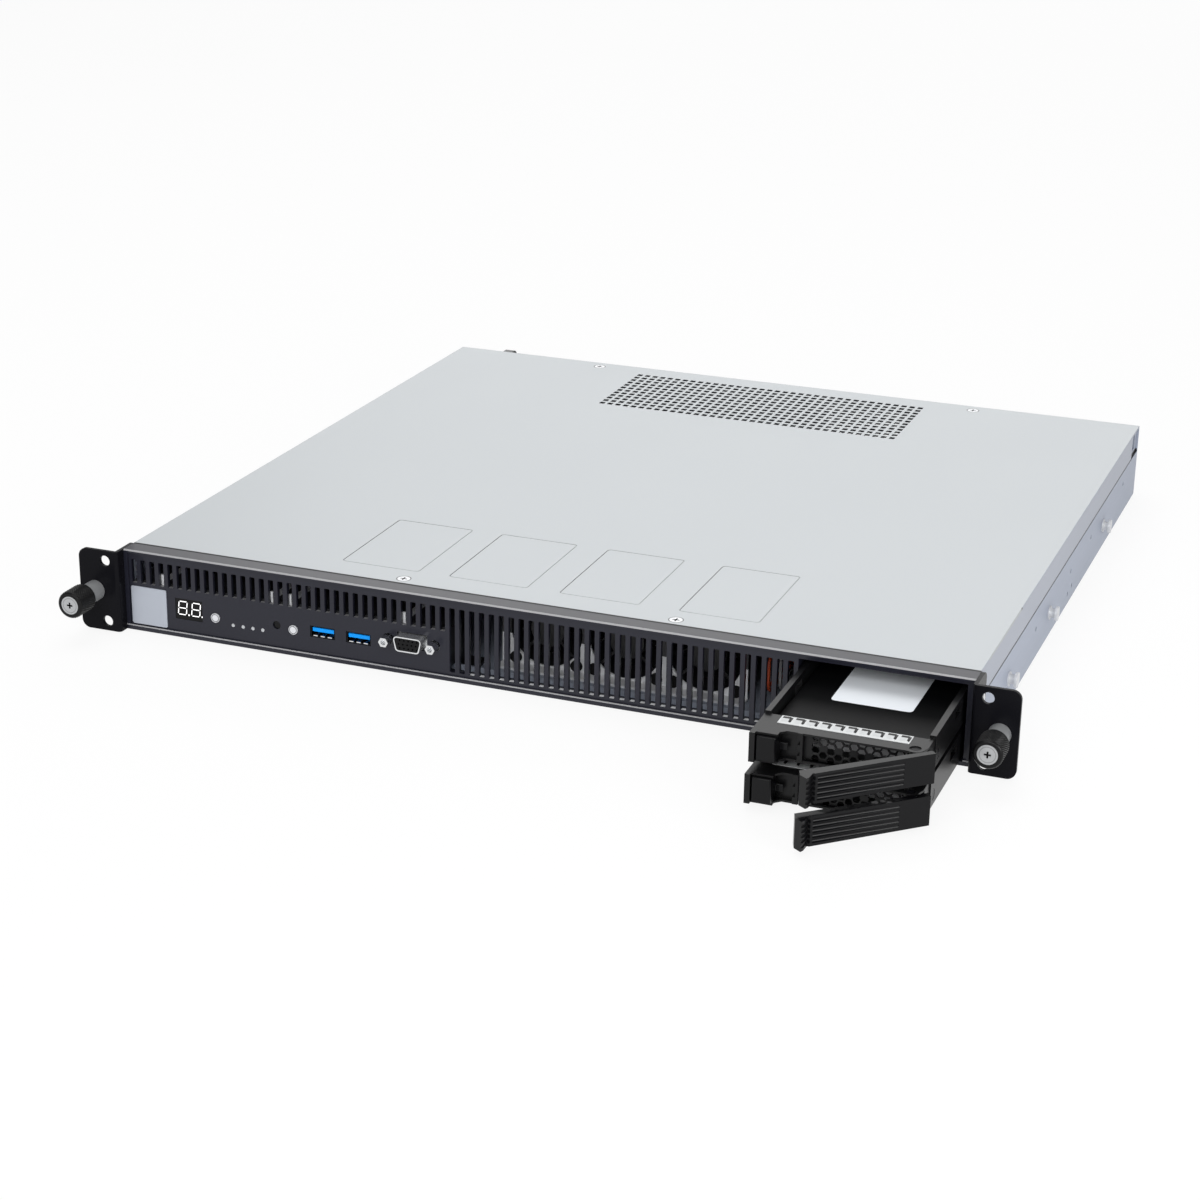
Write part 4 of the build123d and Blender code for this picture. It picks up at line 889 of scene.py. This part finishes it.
def new_object(name: str, data: Any) -> bpy.types.Object:
    """Put a mesh, a lamp or a camera in the scene as an object at the origin.

    Args:
        name: the object's name.
        data: its mesh, lamp or camera.

    Returns:
        The object.
    """
    made = bpy.data.objects.new(name, data)
    bpy.context.scene.collection.objects.link(made)
    return made


def settled_mesh(piece: bpy.types.Object) -> bpy.types.Mesh:
    """Evaluate a piece with its modifiers.

    Args:
        piece: the piece.

    Returns:
        The plain mesh.
    """
    bpy.context.view_layer.update()
    graph = bpy.context.evaluated_depsgraph_get()
    return bpy.data.meshes.new_from_object(piece.evaluated_get(graph))


def mesh_from(name: str, build: Callable[[bmesh.types.BMesh], None]) -> bpy.types.Object:
    """Make an object from a function that fills a bmesh.

    Args:
        name: the object's name.
        build: fills the bmesh, in metres.

    Returns:
        The object.
    """
    work = bmesh.new()
    build(work)
    bmesh.ops.recalc_face_normals(work, faces=work.faces)
    mesh = bpy.data.meshes.new(name)
    work.to_mesh(mesh)
    work.free()
    return new_object(name, mesh)


def prism(work: bmesh.types.BMesh, ring: Sequence[Sequence[float]], shift: Vector) -> None:
    """Add a closed prism: a flat ring pushed along a vector.

    Args:
        work: the bmesh that gets the prism.
        ring: the corners of the ring.
        shift: how far and which way the ring is pushed.
    """
    low = [work.verts.new(point) for point in ring]
    high = [work.verts.new(Vector(point) + shift) for point in ring]
    work.faces.new(low)
    work.faces.new(list(reversed(high)))
    for index in range(len(ring)):
        after = (index + 1) % len(ring)
        work.faces.new((low[index], high[index], high[after], low[after]))


class Tree:
    """A Geometry Nodes tree with named inputs."""

    def __init__(self, name: str, inputs: dict[str, tuple[str, Any]]) -> None:
        """Make the group with its inputs.

        Args:
            name: the tree's name.
            inputs: socket type and value by input name.
        """
        self.group = bpy.data.node_groups.new(name, "GeometryNodeTree")
        self.inputs = inputs
        self.identifiers: dict[str, str] = {}
        face = self.group.interface
        face.new_socket("Geometry", in_out="INPUT", socket_type="NodeSocketGeometry")
        for key, (kind, _value) in inputs.items():
            made = face.new_socket(key, in_out="INPUT", socket_type=kind)
            self.identifiers[key] = made.identifier
        face.new_socket("Geometry", in_out="OUTPUT", socket_type="NodeSocketGeometry")
        self.entry = self.group.nodes.new("NodeGroupInput")
        self.exit = self.group.nodes.new("NodeGroupOutput")

    def node(self, kind: str, settings: Settings = None, values: Settings = None) -> Any:
        """Add a node with its settings and input values or links.

        Args:
            kind: the node's type.
            settings: attributes that are set first.
            values: numbers or sockets by input.

        Returns:
            The node.
        """
        made = self.group.nodes.new(kind)
        for key, value in (settings or {}).items():
            setattr(made, key, value)
        for key, value in (values or {}).items():
            if isinstance(value, bpy.types.NodeSocket):
                self.group.links.new(value, made.inputs[key])
            else:
                made.inputs[key].default_value = value
        return made

    def scatter(self, shape: Any, coat: Coat, turn: dict[str, Any]) -> None:
        """Put a shape on each point and end the tree.

        Args:
            shape: the shape's mesh socket.
            coat: the finish of the result.
            turn: the socket of the turn by input name, or nothing.
        """
        places = {"Points": self.entry.outputs["Geometry"], "Instance": shape, **turn}
        placed = self.node("GeometryNodeInstanceOnPoints", None, places)
        real = self.node("GeometryNodeRealizeInstances", None, {0: placed.outputs[0]})
        paint = {"Geometry": real.outputs[0], "Material": PALETTE.get(coat)}
        painted = self.node("GeometryNodeSetMaterial", None, paint)
        self.group.links.new(painted.outputs[0], self.exit.inputs[0])

    def grow(self, name: str, points: Sequence[Vector], outs: Sequence[Vector] = ()) -> bpy.types.Object:
        """Run the tree on a cloud of points and keep the result as a mesh.

        Args:
            name: name of the finished object.
            points: the places in metres.
            outs: outward direction of each point, if the tree reads it.

        Returns:
            A plain mesh object at the origin.
        """
        seed = bpy.data.meshes.new(name + "_points")
        seed.from_pydata([tuple(point) for point in points], [], [])
        if outs:
            layer = seed.attributes.new("out", "FLOAT_VECTOR", "POINT")
            for index, out in enumerate(outs):
                layer.data[index].vector = out
        carrier = new_object(name + "_points", seed)
        modifier = carrier.modifiers.new("tree", "NODES")
        modifier.node_group = self.group
        for key, (_kind, value) in self.inputs.items():
            modifier[self.identifiers[key]] = value
        mesh = settled_mesh(carrier)
        carrier.modifiers.remove(modifier)
        bpy.data.objects.remove(carrier)
        return new_object(name, mesh)


@dataclass
class EdgeRounder:
    """Gives a CAD node's copy small rounded edges that catch the light."""

    radius: float
    angle: float = math.radians(32)
    flat: float = math.radians(0.5)
    merge: float = 0.004 * MM
    segments: int = 2

    def cleaned(self, node: str) -> bpy.types.Mesh:
        """A merged copy of a node's mesh with its sharp edges marked.

        Args:
            node: the CAD node.

        Returns:
            The copy.
        """
        mesh = frame["nodes"][node].data.copy()
        work = bmesh.new()
        work.from_mesh(mesh)
        bmesh.ops.remove_doubles(work, verts=work.verts, dist=self.merge)
        bmesh.ops.dissolve_limit(work, angle_limit=self.flat, verts=work.verts, edges=work.edges)
        for face in work.faces:
            face.smooth = True
        for edge in work.edges:
            if len(edge.link_faces) == 2 and edge.calc_face_angle(0.0) > self.angle:
                edge.smooth = False
        work.to_mesh(mesh)
        work.free()
        return mesh

    def copy(self, node: str, coat: Coat) -> None:
        """Copy a node and round its edges; the copy stands for the node.

        Args:
            node: the CAD node.
            coat: the finish of the copy.
        """
        made = new_object(node + "_dressed", self.cleaned(node))
        bevel = made.modifiers.new("edges", "BEVEL")
        bevel.width = self.radius
        bevel.segments = self.segments
        bevel.limit_method = "ANGLE"
        bevel.angle_limit = self.angle
        bevel.harden_normals = False
        bevel.use_clamp_overlap = True
        final = settled_mesh(made)
        made.modifiers.remove(bevel)
        made.data = final
        for polygon in final.polygons:
            polygon.use_smooth = True
        finish_piece(made, coat, body_of_node(node), node)


@dataclass
class Metalwork:
    """All CAD nodes: a finish for each, and round edges for those in sight."""

    rounded: dict[str, float] = field(
        default_factory=lambda: {
            "front_bezel": 0.2,
            "left_ear": 0.25,
            "right_ear": 0.25,
            "upper_lever": 0.3,
            "lower_lever": 0.3,
            "upper_release": 0.25,
            "lower_release": 0.25,
            "upper_tray": 0.15,
            "lower_tray": 0.15,
            "left_knob": 0.25,
            "right_knob": 0.25,
            "fan_frames": 0.3,
        }
    )

    def dress(self) -> None:
        """Give each CAD node its finish and round the ones in sight."""
        for node, coat in NODE_COATS.items():
            if node in self.rounded:
                EdgeRounder(radius=self.rounded[node] * MM).copy(node, coat)
            else:
                coat_mesh(frame["nodes"][node].data, coat)
        log.info("%d nodes dressed", len(NODE_COATS))


@dataclass
class DigitDisplay:
    """Two seven-segment digits with points, drawn as thin bars."""

    digits: int = 2
    left: float = -189.6
    pitch: float = 7.6
    width: float = 4.6
    bottom: float = 12.0
    height: float = 7.0
    bar: float = 0.46
    gap_share: float = 1.3
    slant: float = 0.10
    front: float = -8.28
    depth: float = 0.06
    point_gap: float = 1.1
    point_width: float = 0.8
    point_z: tuple[float, float] = (-0.3, 0.5)

    def bars(self) -> list[tuple[float, float, float, bool]]:
        """The bars of one digit.

        Returns:
            Centre across and upwards, length and whether it stands, of each bar.
        """
        half = self.height / 2
        gap = self.bar * self.gap_share
        rows = [(self.width / 2, level, self.width - gap, False) for level in (0.0, half, self.height)]
        sides = [(side, level) for side in (0.0, self.width) for level in (half / 2, 1.5 * half)]
        return rows + [(side, level, half - gap, True) for side, level in sides]

    def ring(self, u: float, v: float, length: float, upright: bool) -> list[tuple[float, float]]:
        """The six corners of one bar with pointed ends.

        Args:
            u: the bar's centre across.
            v: the bar's centre upwards.
            length: the bar's length.
            upright: whether the bar stands.

        Returns:
            The corners, leaning as the digit does.
        """
        half, thick = length / 2, self.bar / 2
        inner = half - thick
        flat = ((-half, 0), (-inner, thick), (inner, thick), (half, 0), (inner, -thick), (-inner, -thick))
        turned = [(b, a) if upright else (a, b) for a, b in flat]
        return [(u + a + (v + b) * self.slant, v + b) for a, b in turned]

    def outlines(self) -> list[list[tuple[float, float]]]:
        """The bars and the point of one digit.

        Returns:
            The corners of each, from the digit's lower left corner.
        """
        near = self.width + self.point_gap
        far = near + self.point_width
        low, high = self.point_z
        point = [(near, low), (far, low), (far, high), (near, high)]
        return [self.ring(*bar) for bar in self.bars()] + [point]

    def build(self) -> None:
        """Make all lit segments as one piece."""

        def fill(work: bmesh.types.BMesh) -> None:
            """Add the bars and points.

            Args:
                work: the bmesh to fill.
            """
            shift = Vector((0, -self.depth * MM, 0))
            for digit in range(self.digits):
                start = self.left + digit * self.pitch
                for outline in self.outlines():
                    corners = [Vector((start + a, self.front, self.bottom + b)) * MM for a, b in outline]
                    prism(work, corners, shift)

        finish_piece(mesh_from("display_segments", fill), Coat.DIGIT, "chassis")


@dataclass
class DriveLabel:
    """The plain white label on a drive's lid."""

    x: tuple[float, float] = (156.8, 194.8)
    front: float = 59.0
    length: float = 56.0
    level: float = 9.2
    thickness: float = 0.06
    corner: float = 2.2
    corner_steps: int = 5

    def ring(self, low_y: float, height: float) -> list[Vector]:
        """The outline of the label with round corners.

        Args:
            low_y: the label's front edge in millimetres.
            height: the label's level in millimetres.

        Returns:
            The points in metres.
        """
        left, right = self.x[0] + self.corner, self.x[1] - self.corner
        near, far = low_y + self.corner, low_y + self.length - self.corner
        ring = []
        for x, y, start in ((right, near, -90), (right, far, 0), (left, far, 90), (left, near, 180)):
            for step in range(self.corner_steps + 1):
                turn = math.radians(start + step * 90 / self.corner_steps)
                out = Vector((math.cos(turn), math.sin(turn), 0)) * self.corner
                ring.append((Vector((x, y, height)) + out) * MM)
        return ring

    def build(self) -> None:
        """Lay a label on both drives."""
        for word, (tray_front, tray_bottom) in TRAYS.items():
            ring = self.ring(tray_front + self.front, tray_bottom + self.level)
            shift = Vector((0, 0, self.thickness * MM))
            label = mesh_from(word + "_drive_label", partial(prism, ring=ring, shift=shift))
            finish_piece(label, Coat.LABEL, word + "_carrier")


@dataclass
class Knurling:
    """Diamond knurls round the thumbscrew sleeves, made with a node tree."""

    across: float = 232.55
    level: float = 21.2
    radius: float = 6.86
    start: float = -38.9
    rows: int = 12
    row_pitch: float = 1.0
    count: int = 40
    width: float = 0.60
    rise: float = 0.34

    def tree(self) -> Tree:
        """Build the tree: a small pyramid on each point, turned outwards.

        Returns:
            The tree.
        """
        kind = "NodeSocketFloat"
        made = Tree("knurl", {"Width": (kind, self.width * MM), "Rise": (kind, self.rise * MM)})
        sizes = {
            "Vertices": 4,
            "Radius Top": 0.0,
            "Radius Bottom": made.entry.outputs["Width"],
            "Depth": made.entry.outputs["Rise"],
        }
        cone = made.node("GeometryNodeMeshCone", None, sizes)
        vector = {"data_type": "FLOAT_VECTOR"}
        out = made.node("GeometryNodeInputNamedAttribute", vector, {"Name": "out"})
        aim = made.node("FunctionNodeAlignEulerToVector", {"axis": "Z"}, {"Vector": out.outputs[0]})
        made.scatter(cone.outputs["Mesh"], Coat.KNURL, {"Rotation": aim.outputs[0]})
        return made

    def build(self) -> None:
        """Cover both sleeves."""
        tree = self.tree()
        for word, side in (("left", -1), ("right", 1)):
            points, outs = [], []
            for row in range(self.rows):
                middle = Vector((side * self.across, self.start + row * self.row_pitch, self.level))
                for index in range(self.count):
                    turn = 2 * math.pi * (index + 0.5 * (row % 2)) / self.count
                    out = Vector((math.cos(turn), 0, math.sin(turn)))
                    points.append((middle + out * self.radius) * MM)
                    outs.append(out)
            finish_piece(tree.grow(word + "_knurling", points, outs), Coat.KNURL, word + "_thumb")


@dataclass
class SocketContacts:
    """Spring fingers in the floor of the USB sockets."""

    centres: tuple[float, float] = (-108.4, -88.75)
    offsets: tuple[float, ...] = (-3.9, 0.0, 3.9)
    level: float = 11.85
    front: float = -8.3
    size: tuple[float, float, float] = (2.2, 4.0, 0.5)

    def build(self) -> None:
        """Instance the fingers with a node tree."""
        _width, length, height = self.size
        tree = Tree("contact", {"Size": ("NodeSocketVector", tuple(part * MM for part in self.size))})
        cube = tree.node("GeometryNodeMeshCube", None, {"Size": tree.entry.outputs["Size"]})
        tree.scatter(cube.outputs["Mesh"], Coat.STEEL, {})
        middle = Vector((0, self.front + length / 2, self.level + height / 2))
        across = [centre + offset for centre in self.centres for offset in self.offsets]
        points = [(middle + Vector((x, 0, 0))) * MM for x in across]
        finish_piece(tree.grow("socket_contacts", points), Coat.STEEL, "chassis")


@dataclass(frozen=True)
class Lamp:
    """A soft lamp: its place and size in metres and its power in watts."""

    name: str
    place: tuple[float, float, float]
    size: tuple[float, float]
    power: float

    def hang(self, aim: Vector) -> None:
        """Hang the lamp so that it looks at a point.

        Args:
            aim: the point in metres.
        """
        data = bpy.data.lights.new(self.name, "AREA")
        data.shape = "RECTANGLE"
        data.size, data.size_y = self.size
        data.energy = self.power
        made = new_object(self.name, data)
        turn = (aim - Vector(self.place)).to_track_quat("-Z", "Y").to_matrix().to_4x4()
        made.matrix_world = Matrix.Translation(self.place) @ turn


@dataclass
class Studio:
    """Pale floor, soft lamps, world and the camera of the photo."""

    target: tuple[float, float, float] = (-0.02188, 0.150, -0.01111)
    distance: float = 1.3766
    azimuth: float = math.radians(20.703)
    elevation: float = math.radians(20.897)
    roll: float = math.radians(0.8546)
    lens: float = 76.32
    sensor: float = 36.0
    clip: float = 0.01
    floor_level: float = -0.0004
    floor_half: float = 40.0
    floor_colour: tuple[float, ...] = (0.86, 0.86, 0.86, 1.0)
    floor_roughness: float = 0.9
    backdrop_share: float = 0.88
    white: tuple[float, ...] = (1.0, 1.0, 1.0, 1.0)
    room_strength: float = 0.42
    aim: tuple[float, float, float] = (0.0, 0.15, 0.0)
    lamps: tuple[Lamp, ...] = (
        Lamp("top lamp", (-0.4, 0.5, 2.2), (2.0, 2.0), 23.0),
        Lamp("front lamp", (0.2, -2.0, 1.15), (2.0, 1.2), 28.0),
        Lamp("right lamp", (0.98, -0.50, 0.33), (0.4, 0.5), 4.5),
        Lamp("back wall", (-0.2, 4.2, 1.5), (5.0, 2.4), 52.0),
    )

    def camera(self) -> None:
        """Set the camera at the photo's place."""
        level = math.cos(self.elevation)
        away = (math.sin(self.azimuth) * level, -math.cos(self.azimuth) * level, math.sin(self.elevation))
        back = Vector(away)
        right = (-back).cross(Vector((0, 0, 1))).normalized()
        up = right.cross(-back)
        along = math.cos(self.roll) * right + math.sin(self.roll) * up
        raised = -math.sin(self.roll) * right + math.cos(self.roll) * up
        data = bpy.data.cameras.new("camera")
        data.lens = self.lens
        data.sensor_width = self.sensor
        data.sensor_fit = "HORIZONTAL"
        data.clip_start = self.clip
        seen = new_object("camera", data)
        turn = Matrix((along, raised, back)).transposed().to_4x4()
        seen.matrix_world = Matrix.Translation(Vector(self.target) + back * self.distance) @ turn
        bpy.context.scene.camera = seen

    def floor(self) -> None:
        """Lay the pale floor, which keeps a faint shadow."""
        shader = Shader("pale floor")
        shader.surface.inputs["Base Color"].default_value = self.floor_colour
        shader.surface.inputs["Roughness"].default_value = self.floor_roughness
        glow = shader.node("ShaderNodeEmission", None, {"Color": self.white, "Strength": 1.0})
        path = shader.node("ShaderNodeLightPath")
        names = ("Is Camera Ray", "Is Glossy Ray", "Is Transmission Ray")
        camera, glossy, through = (Level(shader, path.outputs[name]) for name in names)
        share = (camera + glossy + through) * self.backdrop_share
        parts = {0: share, 1: shader.surface.outputs[0], 2: glow.outputs[0]}
        shader.feed(shader.output.inputs[0], shader.node("ShaderNodeMixShader", None, parts).outputs[0])
        half = self.floor_half
        sheet = bpy.data.meshes.new("floor")
        places = ((-half, -half), (half, -half), (half, half), (-half, half))
        sheet.from_pydata([(x, y, self.floor_level) for x, y in places], [], [(0, 1, 2, 3)])
        sheet.materials.append(shader.material)
        new_object("floor", sheet)

    def world(self) -> None:
        """Light the room evenly."""
        room = bpy.data.worlds.new("room")
        room.use_nodes = True
        background = room.node_tree.nodes["Background"]
        background.inputs["Color"].default_value = self.white
        background.inputs["Strength"].default_value = self.room_strength
        bpy.context.scene.world = room

    def build(self) -> None:
        """Set everything up."""
        self.camera()
        self.floor()
        self.world()
        for lamp in self.lamps:
            lamp.hang(Vector(self.aim))
        bpy.context.scene.view_settings.view_transform = "Standard"
        log.info("studio ready")


def main() -> None:
    """Build the rack server piece by piece, then the studio."""
    logging.basicConfig(level=logging.INFO, format="%(message)s")
    Metalwork().dress()
    DigitDisplay().build()
    DriveLabel().build()
    Knurling().build()
    SocketContacts().build()
    Studio().build()


if __name__ == "__main__":
    main()
